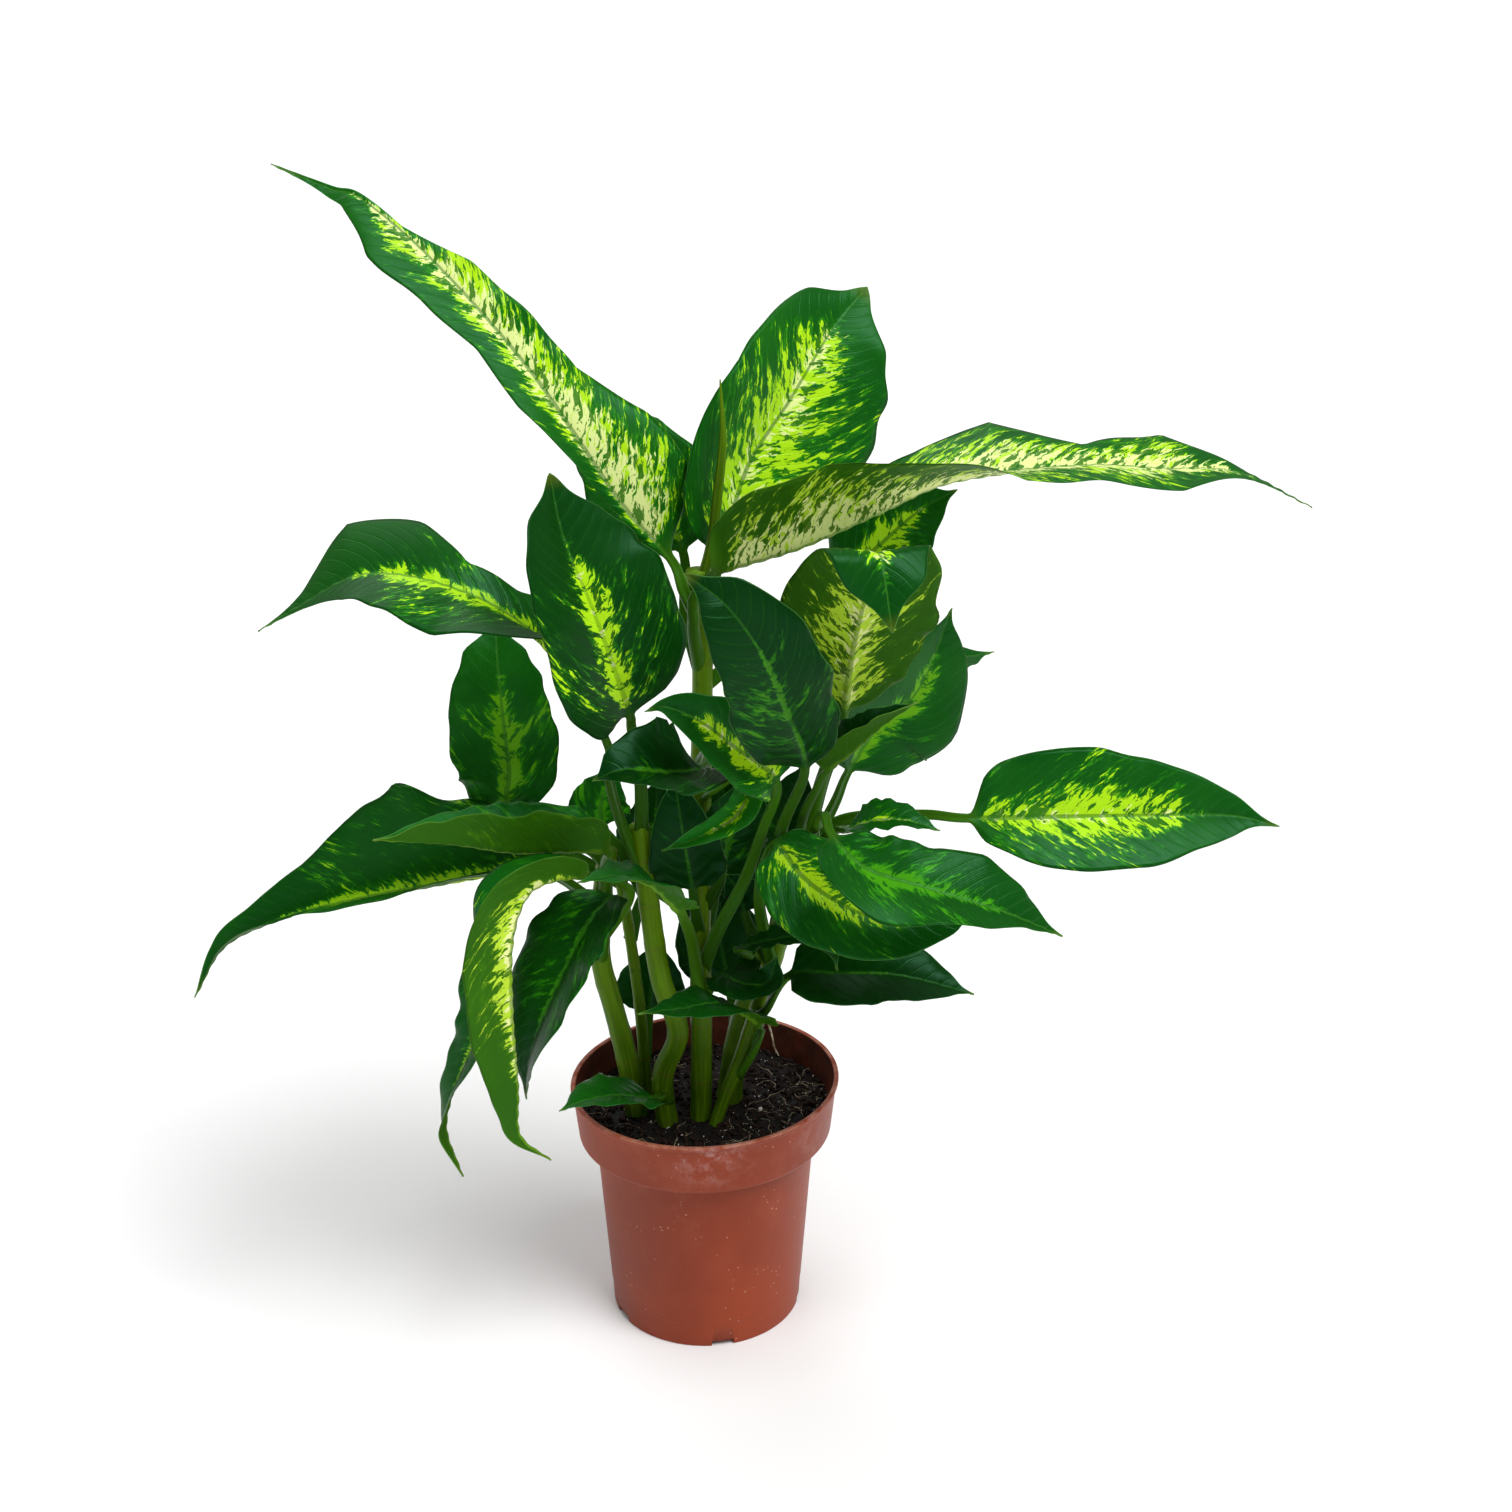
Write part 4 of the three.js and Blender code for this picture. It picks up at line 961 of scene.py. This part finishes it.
LEAF_UPPER = leaf_material("leaf_upper_skin", UPPER_SIDE, gloss=(0.28, 0.38), shine=0.22, relief=0.30,
                           through=0.20)
LEAF_UNDER = leaf_material("leaf_under_skin", UNDERSIDE, gloss=(0.40, 0.52), shine=0.15, relief=0.40,
                           through=0.22)
CANE_SKIN = cane_material()
TERRACOTTA = pot_material()
PEAT = soil_material()
PERLITE = loose_material("perlite", dark=rgb(0.42, 0.40, 0.36), pale=rgb(0.85, 0.83, 0.78),
                         fineness=900.0, roughness=0.85)
FIBRE = loose_material("dry_fibre", dark=rgb(0.22, 0.16, 0.09), pale=rgb(0.60, 0.53, 0.36),
                       fineness=500.0, roughness=0.8)
CRUMB = loose_material("peat_crumb", dark=rgb(0.002, 0.0014, 0.0012), pale=rgb(0.030, 0.0125, 0.0075),
                       fineness=500.0, roughness=0.9)


# ---------------------------------------------------------------- leaves
def half_width(u, width, shape):
    """Half width of a blade at u, from 0 at its foot to 1 at its tip."""
    rise, fall = shape
    widest = rise / (rise + fall)
    return width / 2 * (u / widest) ** rise * (np.maximum(0, 1 - u) / (1 - widest)) ** fall


def blade_profile(halves, fold, spots):
    """Places (across, up) of the blade's upper side for one row, from its left and right halves."""
    profile = np.zeros((len(spots), 2))
    middle = len(spots) // 2
    for sign, half, tilt in ((-1, halves[0], fold[0]), (1, halves[1], fold[1])):
        place = np.zeros(2)
        for k in range(1, middle + 1):
            a, b = abs(spots[middle + sign * (k - 1)]), abs(spots[middle + sign * k])
            s = (a + b) / 2
            angle = math.radians(tilt * float(smoothstep(s, *CREASE)) + ARCH * (0.5 - s) * 2)
            place = place + half * (b - a) * np.array([sign * math.cos(angle), math.sin(angle)])
            profile[middle + sign * k] = place
    return profile


def petiole_section(radius, t):
    """Upper and lower outline (across, up) of a petiole: round below, flatter above with a channel."""
    across, up = np.sin(t * math.pi / 2), np.cos(t * math.pi / 2)
    channel = CHANNEL_DEPTH * np.exp(-(t / CHANNEL_WIDTH) ** 2)
    return (radius * np.stack([across, PETIOLE_TOP * up - channel], axis=1),
            radius * np.stack([across, -PETIOLE_BELLY * up], axis=1))


def underside(profile, u, off, spots):
    """The blade's lower side: its thickness below the upper one, and the keel under the midrib."""
    slope = np.gradient(profile, axis=0)
    normal = unit(np.stack([-slope[:, 1], slope[:, 0]], axis=1))
    skin = MARGIN_THICKNESS + (BLADE_THICKNESS - MARGIN_THICKNESS) * (1 - spots**4)
    keel_width = KEEL_WIDTH * (1 - KEEL_NARROWING * u)
    keel = KEEL_DEPTH * (1 - u) ** KEEL_FADE * np.exp(-(off / keel_width) ** 2)
    return profile - normal * (skin + keel)[:, None]


def make_leaf(name, leaf, number):
    """One leaf: a petiole that grows into a blade, as one closed skin."""
    leaf = PLAIN_LEAF | leaf
    rng = np.random.default_rng(LEAF_SEED + number)
    points = leaf["petiole"] + leaf["rib"]
    line, reach = catmull_rom(points, CURVE_STEPS)
    foot = reach[round(len(leaf["petiole"]) / (len(points) - 1) * CURVE_STEPS)]
    blade_length = reach[-1] - foot
    petiole_at = np.linspace(0, foot, max(FEWEST_PETIOLE_ROWS, int(foot / PETIOLE_STEP)), endpoint=False)
    v = np.linspace(0, 1, max(FEWEST_BLADE_ROWS, int(blade_length / BLADE_STEP)))
    v = (1 - END_CROWDING) * v + END_CROWDING * (1 - np.cos(v * math.pi)) / 2
    stations = np.concatenate([petiole_at, foot + blade_length * v])
    place, tangent = at_distance(line, reach, stations)
    u = np.maximum(0, (stations - foot) / blade_length)
    blade = smoothstep(u, 0, BLADE_START)
    up, right = square_to(tangent, along(leaf["face"], u))
    stalk = PETIOLE_FOOT_RADIUS + (PETIOLE_RADIUS - PETIOLE_FOOT_RADIUS) * np.minimum(1, stations / foot)
    swing = [soft_noise(rng, u, RUFFLE_BENDS), soft_noise(rng, u, RUFFLE_BENDS)]
    sway = np.stack([soft_noise(rng, u, EDGE_BENDS), soft_noise(rng, u, EDGE_BENDS)], axis=1)
    drip = 1 - DRIP_PINCH * smoothstep(u, DRIP_START, DRIP_END)
    width = (drip * half_width(u, leaf["width"], leaf["shape"]))[:, None]
    halves = along(leaf["sides"], u) * (1 + EDGE_SWAY * sway) * width
    halves = np.hypot(halves, (stalk * (1 - u) + LEAST_HALF_WIDTH)[:, None])
    fold = along(leaf["fold"], u)
    t = np.linspace(-1, 1, 2 * ACROSS + 1)
    side = np.sign(t)
    spots = side * np.abs(t) ** MIDRIB_CROWDING
    rows_upper, rows_lower, kept = [], [], []
    for i in range(len(stations)):
        half = np.where(t < 0, halves[i, 0], halves[i, 1])
        off = np.abs(spots) * half
        vein = u[i] * blade_length - half * (VEIN_SWEEP * np.abs(spots) + VEIN_BEND * spots**2)
        ripple = leaf["wave"] * math.sin(u[i] * math.pi * RIPPLE_COUNT) * blade[i] * (1 - u[i])
        ruffle = RUFFLE * blade[i] * np.where(t < 0, swing[0][i], swing[1][i]) * (1 - u[i] ** 3)
        quilt = QUILT_HEIGHT * np.cos(2 * math.pi * vein / VEIN_PITCH) * (1 - spots**4)
        groove = -GROOVE_DEPTH * (1 - u[i]) * np.exp(-(off / GROOVE_WIDTH) ** 2)
        profile = blade_profile(halves[i], fold[i] * blade[i], spots)
        profile[:, 1] += side * ripple * spots**2 + ruffle * np.abs(spots) ** 3
        profile[:, 1] += (quilt + groove) * blade[i]
        top, bottom = petiole_section(stalk[i], t)
        upper = top * (1 - blade[i]) + profile * blade[i]
        lower = bottom * (1 - blade[i]) + underside(profile, u[i], off, spots) * blade[i]
        lower[0], lower[-1] = upper[0], upper[-1]
        for rows, flat in ((rows_upper, upper), (rows_lower, lower)):
            rows.append(place[i] + flat[:, :1] * right[i] + flat[:, 1:] * up[i])
        kept.append(np.stack([vein, side * off, half - off,
                              np.full_like(t, u[i]), np.full_like(t, 1 - blade[i]), np.abs(spots)], axis=1))
    piece, facts = skin_leaf(name, np.array(rows_upper), np.array(rows_lower), np.array(kept))
    store(piece, "leaf_place", facts[:, :3])
    store(piece, "leaf_part", facts[:, 3:])
    store(piece, "leaf_kind", np.tile(leaf["colour"], (len(facts), 1)))
    store(piece, "leaf_seed", np.tile((number * PATTERN_STEP, leaf["core_side"], 0), (len(facts), 1)))
    return piece


def skin_leaf(name, upper, lower, kept):
    """Joins a leaf's upper and lower rows into one closed mesh; gives it and its points' facts."""
    rows, across = upper.shape[:2]
    points = np.concatenate([upper, lower[:, 1:-1][:, ::-1]], axis=1)
    facts = np.concatenate([kept, kept[:, 1:-1][:, ::-1]], axis=1)
    ring = points.shape[1]
    faces = tube_faces(rows, ring, flipped=True)
    skin = [0 if c < across - 1 else 1 for c in range(ring)] * (rows - 1) + [1, 1]
    piece = mesh_object(name, points.reshape(-1, 3), faces, [LEAF_UPPER, LEAF_UNDER], face_material=skin)
    return piece, facts.reshape(-1, facts.shape[2])


# ---------------------------------------------------------------- canes
def make_cane(name, cane, number, with_scars=True):
    """A fleshy stem with a low ring and a scar at each place where a leaf grew."""
    rng = np.random.default_rng(CANE_SEED + number)
    line, reach = catmull_rom(cane["axis"], CURVE_STEPS)
    count = int(reach[-1] / CANE_STEP)
    at = np.linspace(0, reach[-1], count)
    place, tangent = at_distance(line, reach, at)
    up, right = square_to(tangent, np.array([0.0, -1.0, 0.0]))
    radius = along([[r] for r in cane["radius"]], at / reach[-1])[:, 0]
    nodes = np.arange(rng.uniform(*FIRST_NODE), reach[-1], NODE_SPACING)
    nodes = nodes + rng.uniform(-NODE_SWAY, NODE_SWAY, len(nodes))
    near = np.min(np.abs(at[:, None] - nodes[None, :]), axis=1)
    swell = with_scars * np.exp(-(near / NODE_REACH) ** 2)
    scar = with_scars * np.exp(-(near / SCAR_REACH) ** 2)
    turn = full_turn(CANE_SIDES)
    oval = 1 + OVAL * np.cos(2 * turn + number)
    points, kept = [], []
    for i in range(count):
        size = radius[i] * oval * (1 + NODE_SWELL * swell[i] - SCAR_DEPTH * scar[i]) - CANE_INSET
        ring = circle(size, 0, turn)
        points.append(place[i] + ring[:, :1] * right[i] + ring[:, 1:2] * up[i])
        kept.append(np.stack([np.full(CANE_SIDES, at[i]), np.abs(np.sin(turn / 2)) * 2,
                              np.full(CANE_SIDES, scar[i])], axis=1))
    piece = mesh_object(name, np.concatenate(points), tube_faces(count, CANE_SIDES), [CANE_SKIN])
    store(piece, "cane_place", np.concatenate(kept))
    return piece


# ---------------------------------------------------------------- pot
def squeezed(points):
    """The soft plastic pot has been squeezed: its rim dips on the left and stands up on the right."""
    points = np.array(points, float)
    points[:, 2] += RIM_TILT * (points[:, 2] / POT_HEIGHT) ** 2 * points[:, 0] / RIM_RADIUS
    return points


def collar_radius(height, rim_inset):
    """Outer radius of the collar at a height, with its rim a little inside the lip."""
    share = (height - COLLAR_FOOT) / COLLAR_HEIGHT
    return COLLAR_FOOT_RADIUS + (RIM_RADIUS - rim_inset - COLLAR_FOOT_RADIUS) * share


def rounded(outline, radius, steps=4):
    """The outline (radius, height) with its inner corners rounded."""
    made = [np.array(outline[0], float)]
    for before, corner, after in zip(outline, outline[1:], outline[2:]):
        before, corner, after = (np.array(p, float) for p in (before, corner, after))
        into, out = before - corner, after - corner
        cut = min(radius, np.linalg.norm(into) * 0.45, np.linalg.norm(out) * 0.45)
        start = corner + unit(into) * cut
        end = corner + unit(out) * cut
        for k in range(steps + 1):
            t = k / steps
            made.append((1 - t) ** 2 * start + 2 * t * (1 - t) * corner + t**2 * end)
    made.append(np.array(outline[-1], float))
    return made


def make_pot():
    """The nursery pot: one turned wall with a collar, a rolled lip, a foot ring and drain notches."""
    line_radius = FOOT_RADIUS + (NECK_RADIUS - FOOT_RADIUS) * MOULD_LINE_HEIGHT / COLLAR_FOOT
    outline = [
        (ON_AXIS, 0),
        (STUD_RADIUS, 0),
        (STUD_RADIUS, FLOOR_HEIGHT),
        (FOOT_RADIUS - FOOT_RING_WIDTH, FLOOR_HEIGHT),
        (FOOT_RADIUS - FOOT_RING_WIDTH, 0),
        (FOOT_RADIUS, 0),
        (line_radius - MOULD_LINE_STEP, MOULD_LINE_HEIGHT - MOULD_LINE_DROP),
        (line_radius, MOULD_LINE_HEIGHT),
        (NECK_RADIUS, NECK_TOP),
        (COLLAR_FOOT_RADIUS - COLLAR_EDGE, COLLAR_FOOT - COLLAR_EDGE_DROP),
        (COLLAR_FOOT_RADIUS, COLLAR_FOOT + COLLAR_EDGE_RISE),
        (RIM_RADIUS - LIP_REACH, POT_HEIGHT - LIP_HEIGHT - LIP_SLOPE),
        (RIM_RADIUS, POT_HEIGHT - LIP_HEIGHT),
        (RIM_RADIUS, POT_HEIGHT),
        (RIM_RADIUS - POT_WALL - LIP_THICKENING, POT_HEIGHT),
        (COLLAR_FOOT_RADIUS - POT_WALL, COLLAR_FOOT + POT_WALL),
        (NECK_RADIUS - POT_WALL, COLLAR_FOOT + POT_WALL - LIP_THICKENING),
        (FOOT_RADIUS - POT_WALL, FLOOR_HEIGHT + POT_WALL),
        (ON_AXIS, FLOOR_HEIGHT + POT_WALL),
    ]
    turn = full_turn(POT_SEGMENTS)
    rings = [circle(radius, height, turn) for radius, height in rounded(outline, POT_CORNER)]
    faces = tube_faces(len(rings), POT_SEGMENTS, flipped=True)
    pot = mesh_object("pot_shell", squeezed(np.concatenate(rings)), faces, [TERRACOTTA])
    for i in range(NOTCH_COUNT):
        cut_notch(pot, math.radians(NOTCH_START + i * 360 / NOTCH_COUNT))
    pot.data.polygons.foreach_set("use_smooth", [True] * len(pot.data.polygons))
    mark_wear_and_shade(pot)
    return pot


def cut_notch(pot, heading):
    """Cuts one drain notch with rounded corners out of the foot."""
    mesh = bmesh.new()
    bmesh.ops.create_cube(mesh, size=1.0)
    bmesh.ops.scale(mesh, verts=mesh.verts, vec=(NOTCH_WIDTH * MM, NOTCH_DEPTH * MM, 2 * NOTCH_HEIGHT * MM))
    bmesh.ops.translate(mesh, verts=mesh.verts, vec=(0, -FOOT_RADIUS * MM, 0))
    outward = [e for e in mesh.edges if abs(e.verts[0].co.y - e.verts[1].co.y) > MM]
    bmesh.ops.bevel(mesh, geom=outward, offset=POT_CORNER * MM, segments=3, affect="EDGES", profile=0.5)
    bmesh.ops.transform(mesh, matrix=Matrix.Rotation(heading, 4, "Z"), verts=mesh.verts)
    data = bpy.data.meshes.new("notch")
    mesh.to_mesh(data)
    mesh.free()
    cutter = bpy.data.objects.new("notch", data)
    bpy.context.scene.collection.objects.link(cutter)
    cut = pot.modifiers.new("notch", "BOOLEAN")
    cut.operation = "DIFFERENCE"
    cut.object = cutter
    apply_modifiers(pot)
    bpy.data.objects.remove(cutter)


def apply_modifiers(piece):
    """Turns the piece's modifiers into its own mesh."""
    bpy.context.view_layer.update()
    shown = piece.evaluated_get(bpy.context.evaluated_depsgraph_get())
    data = bpy.data.meshes.new_from_object(shown)
    piece.modifiers.clear()
    piece.data = data


def mark_wear_and_shade(pot):
    """Keeps for the material what is inside the collar (for painted shade), what is on the lip, and what is
    scuffed.
    """
    x, y, z = (np.array([vertex.co for vertex in pot.data.vertices]) / MM).T
    top = z - RIM_TILT * x / RIM_RADIUS
    lip = smoothstep(top, *LIP_WEAR)
    in_collar = (top > INSIDE_COLLAR[0]) & (top < INSIDE_COLLAR[1])
    inside = (np.hypot(x, y) < collar_radius(top, LIP_REACH) - POT_WALL / 2) & in_collar
    scuff = 0
    for right, height, wide, tall, front, strength in SCUFFS:
        spot = np.exp(-(((x - right) / wide) ** 2 + ((top - height) / tall) ** 2))
        scuff = scuff + strength * spot * (y < -front)
    store(pot, "pot_place", np.stack([inside, lip, np.clip(scuff, 0, 1)], axis=1))


# ---------------------------------------------------------------- soil
def soil_reach(height):
    """Inner radius of the pot's collar at a height."""
    return collar_radius(height, LIP_THICKENING) - POT_WALL


def bumpy(x, y, phases, scale):
    """A cheap sum of waves that reads as loose lumps."""
    total = 0
    for k, (a, b) in enumerate(phases):
        f = scale * (1 + WAVE_QUICKENING * k)
        total = total + np.sin(f * (x * math.cos(a) + y * math.sin(a)) + b) / (1 + WAVE_FADING * k)
    return total / len(phases)


def make_soil():
    """The root ball: peat with a lumpy top, down the inside of the pot to its floor."""
    rng = np.random.default_rng(SOIL_SEED)
    phases = rng.uniform(0, 2 * math.pi, (LUMP_WAVES, 2))
    reach = soil_reach(SOIL_HEIGHT) - SOIL_GAP
    turn = full_turn(SOIL_SEGMENTS)
    rings = []
    for k in range(1, SOIL_RINGS + 1):
        r = reach * k / SOIL_RINGS
        x, y = r * np.cos(turn), r * np.sin(turn)
        lumps = (BROAD_LUMPS["height"] * bumpy(x, y, phases, BROAD_LUMPS["scale"])
                 + FINE_LUMPS["height"] * bumpy(x, y, phases[::-1], FINE_LUMPS["scale"]))
        grit = rng.normal(0, GRIT_HEIGHT, SOIL_SEGMENTS)
        dip = EDGE_DIP * smoothstep(r / reach, EDGE_START, 1.0)
        rings.append(circle(r, SOIL_MEAN + lumps + grit - dip, turn))
    wall = [
        (COLLAR_FOOT_RADIUS - POT_WALL - 2 * SOIL_GAP, COLLAR_FOOT + POT_WALL + SOIL_STEP_RISE),
        (NECK_RADIUS - POT_WALL - SOIL_GAP, COLLAR_FOOT - SOIL_STEP_DROP),
        (FOOT_RADIUS - POT_WALL - SOIL_GAP, FLOOR_HEIGHT + POT_WALL + SOIL_GAP),
    ]
    rings += [circle(radius, height, turn) for radius, height in wall]
    faces = tube_faces(len(rings), SOIL_SEGMENTS)
    return mesh_object("root_ball", squeezed(np.concatenate(rings)), faces, [PEAT])


def lump(rng, centre, size):
    """Points and faces of one irregular crumb."""
    mesh = bmesh.new()
    bmesh.ops.create_icosphere(mesh, subdivisions=1, radius=1.0)
    points = np.array([v.co for v in mesh.verts]) * rng.uniform(*LUMP_ROUGHNESS, (len(mesh.verts), 1))
    faces = [tuple(v.index for v in f.verts) for f in mesh.faces]
    mesh.free()
    spin = np.array(Euler(rng.uniform(0, math.pi, 3)).to_matrix())
    points = points * rng.uniform(*LUMP_FLATNESS, 3) @ spin.T
    return centre + points * size, faces


def scatter(rng, count, clear):
    """Random places (x, y) on the soil's top, clear of the canes and of a share of its middle."""
    places = []
    feet = [np.array(cane["axis"][0][:2]) for cane in CANES.values()]
    while len(places) < count:
        radius = soil_reach(SOIL_HEIGHT) * STREWN_REACH * math.sqrt(rng.uniform(clear**2, 1))
        angle = rng.uniform(0, 2 * math.pi)
        spot = np.array([radius * math.cos(angle), radius * math.sin(angle)])
        if min(np.linalg.norm(spot - foot) for foot in feet) > CANE_ROOM:
            places.append((spot[0], spot[1]))
    return places


def strewn(rng, count, height, size, clear):
    """Crumbs strewn over the soil."""
    return [lump(rng, np.array([x, y, SOIL_TOP + rng.uniform(*height)]), rng.uniform(*size))
            for x, y in scatter(rng, count, clear)]


def gather(name, parts, material, smooth=False):
    """Several small closed bodies as one piece."""
    points, faces, start = [], [], 0
    for body_points, body_faces in parts:
        points.append(body_points)
        faces += [tuple(i + start for i in face) for face in body_faces]
        start += len(body_points)
    return mesh_object(name, squeezed(np.concatenate(points)), faces, [material], smooth=smooth)


def make_soil_bits():
    """What lies on the peat: crumbs, perlite grains and dry root fibres, most of these to the right."""
    rng = np.random.default_rng(BITS_SEED)
    crumbs = strewn(rng, **PEAT_CRUMBS)
    grains = strewn(rng, **PERLITE_GRAINS)
    grains.append(lump(rng, np.array(LARGE_GRAIN), LARGE_GRAIN_SIZE))
    strands = [fibre(rng, x, y) for x, y in scatter(rng, FIBRE_COUNT, FIBRE_CLEAR)
               if x > rng.uniform(*FIBRE_LEAN)]
    return [
        gather("peat_crumbs", crumbs, CRUMB),
        gather("perlite_grains", grains, PERLITE),
        gather("root_fibres", strands, FIBRE, smooth=True),
    ]


def thread(points, radii, rings, sides):
    """Points and faces of a thin closed tube along a smooth curve, from its radii at the two ends."""
    line, reach = catmull_rom(points, THREAD_STEPS)
    at = np.linspace(0, reach[-1], rings)
    place = np.stack([np.interp(at, reach, line[:, k]) for k in range(3)], axis=1)
    tangent = unit(np.gradient(place, axis=0))
    side = unit(np.cross(tangent, NOT_ALONG))
    over = np.cross(side, tangent)
    turn = full_turn(sides)
    size = np.linspace(*radii, rings)
    body = [place[i] + size[i] * (np.cos(turn)[:, None] * side[i] + np.sin(turn)[:, None] * over[i])
            for i in range(rings)]
    return np.concatenate(body), tube_faces(rings, sides)


def fibre(rng, x, y):
    """One dry root fibre that lies curled on the peat."""
    heading, length = rng.uniform(0, 2 * math.pi), rng.uniform(*FIBRE_LENGTH)
    points = [np.array([x, y, SOIL_TOP + rng.uniform(*FIBRE_LIFT)])]
    for _ in range(FIBRE_BENDS):
        heading += rng.normal(0, FIBRE_CURL)
        step = np.array([math.cos(heading), math.sin(heading), 0]) * length / FIBRE_BENDS
        points.append(points[-1] + step + np.array([0, 0, rng.uniform(*FIBRE_WAVE)]))
    limit = soil_reach(SOIL_HEIGHT) - FIBRE_WALL_GAP
    for point in points:
        point[:2] *= min(1, limit / np.linalg.norm(point[:2]))
    thick = rng.uniform(*FIBRE_RADIUS)
    return thread(points, (thick, thick / 2), rings=22, sides=5)


def make_dry_stalk():
    """The withered stalk of a lost leaf, which hangs from the right cane."""
    points, faces = thread(DRY_STALK, DRY_STALK_RADII, rings=60, sides=10)
    return mesh_object("dry_stalk", points, faces, [FIBRE])


# ---------------------------------------------------------------- build
def stands_for(piece, node):
    """The piece takes a CAD node's place, on the one body; the node itself is hidden."""
    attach(piece, "root")
    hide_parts(node)


def lies_loose(piece):
    """The piece is in the render only."""
    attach(piece, "root")


def build_plant():
    stands_for(make_pot(), "pot")
    stands_for(make_soil(), "soil")
    for bits in make_soil_bits():
        lies_loose(bits)
    lies_loose(make_dry_stalk())
    for number, (name, cane) in enumerate(CANES.items()):
        stands_for(make_cane(f"stem_{name}", cane, number), name)
    spear = make_cane("stem_leaf_spear", SPEAR, SPEAR_NUMBER, with_scars=False)
    stands_for(spear, "leaf_spear")
    for number, (name, leaf) in enumerate(LEAVES.items()):
        piece = make_leaf(name.replace("leaf_", "blade_"), leaf, number)
        stands_for(piece, name)


# ---------------------------------------------------------------- stage, lights and camera
FLOOR_HALF_WIDTH = 40000.0
ROOM_LIGHT = 0.36
ROOM_AS_SEEN = 1.0
CAMERA_PLACE = (0.023, -0.823, 0.591)
CAMERA_PITCH = 21.45


def make_floor():
    """A plain pale floor, large enough to fill the picture."""
    material, g, surface, _ = new_material("pale_floor")
    g.feed(surface.inputs["Base Color"], g.mix(g.noise(g.place(), 3.0), FLOOR_DARK, FLOOR_PALE))
    surface.inputs["Roughness"].default_value = 0.9
    surface.inputs["Specular IOR Level"].default_value = 0.1
    size = FLOOR_HALF_WIDTH
    corners = [(-size, -size, 0), (size, -size, 0), (size, size, 0), (-size, size, 0)]
    mesh_object("floor", corners, [(0, 1, 2, 3)], [material], smooth=False)


def sun_light(name, heading, height, spread, strength):
    """A soft far light from a heading (degrees, 0 is the viewer's side, 90 the right) and a height."""
    data = bpy.data.lights.new(name, "SUN")
    data.energy = strength
    data.angle = math.radians(spread)
    lamp = bpy.data.objects.new(name, data)
    lamp.rotation_euler = (math.radians(90 - height), 0, math.radians(heading))
    bpy.context.scene.collection.objects.link(lamp)


def make_light():
    """A white room that looks bright behind the plant and lights it softly, a wide key and a rim light."""
    world = bpy.data.worlds.new("studio")
    world.use_nodes = True
    background = world.node_tree.nodes["Background"]
    background.inputs["Color"].default_value = rgb(1.0, 1.0, 1.0)
    g = Graph(world.node_tree)
    seen = g.node("ShaderNodeLightPath").outputs["Is Camera Ray"]
    strength = g.ramp(seen, 0.0, 1.0, to_low=ROOM_LIGHT, to_high=ROOM_AS_SEEN, smooth=False)
    g.feed(background.inputs["Strength"], strength)
    bpy.context.scene.world = world
    sun_light("key", heading=50, height=58, spread=36, strength=2.95)
    sun_light("rim", heading=-150, height=55, spread=50, strength=0.9)
    bpy.context.scene.view_settings.view_transform = "Standard"


def make_camera():
    """Stands where the photograph was taken from, 0.82 m in front and looking down 21 degrees."""
    data = bpy.data.cameras.new("camera")
    data.lens = 50
    data.sensor_width = 36
    data.clip_end = 200
    camera = bpy.data.objects.new("camera", data)
    camera.location = CAMERA_PLACE
    camera.rotation_euler = (math.radians(90 - CAMERA_PITCH), 0, 0)
    bpy.context.scene.collection.objects.link(camera)
    bpy.context.scene.camera = camera


build_plant()
make_floor()
make_light()
make_camera()
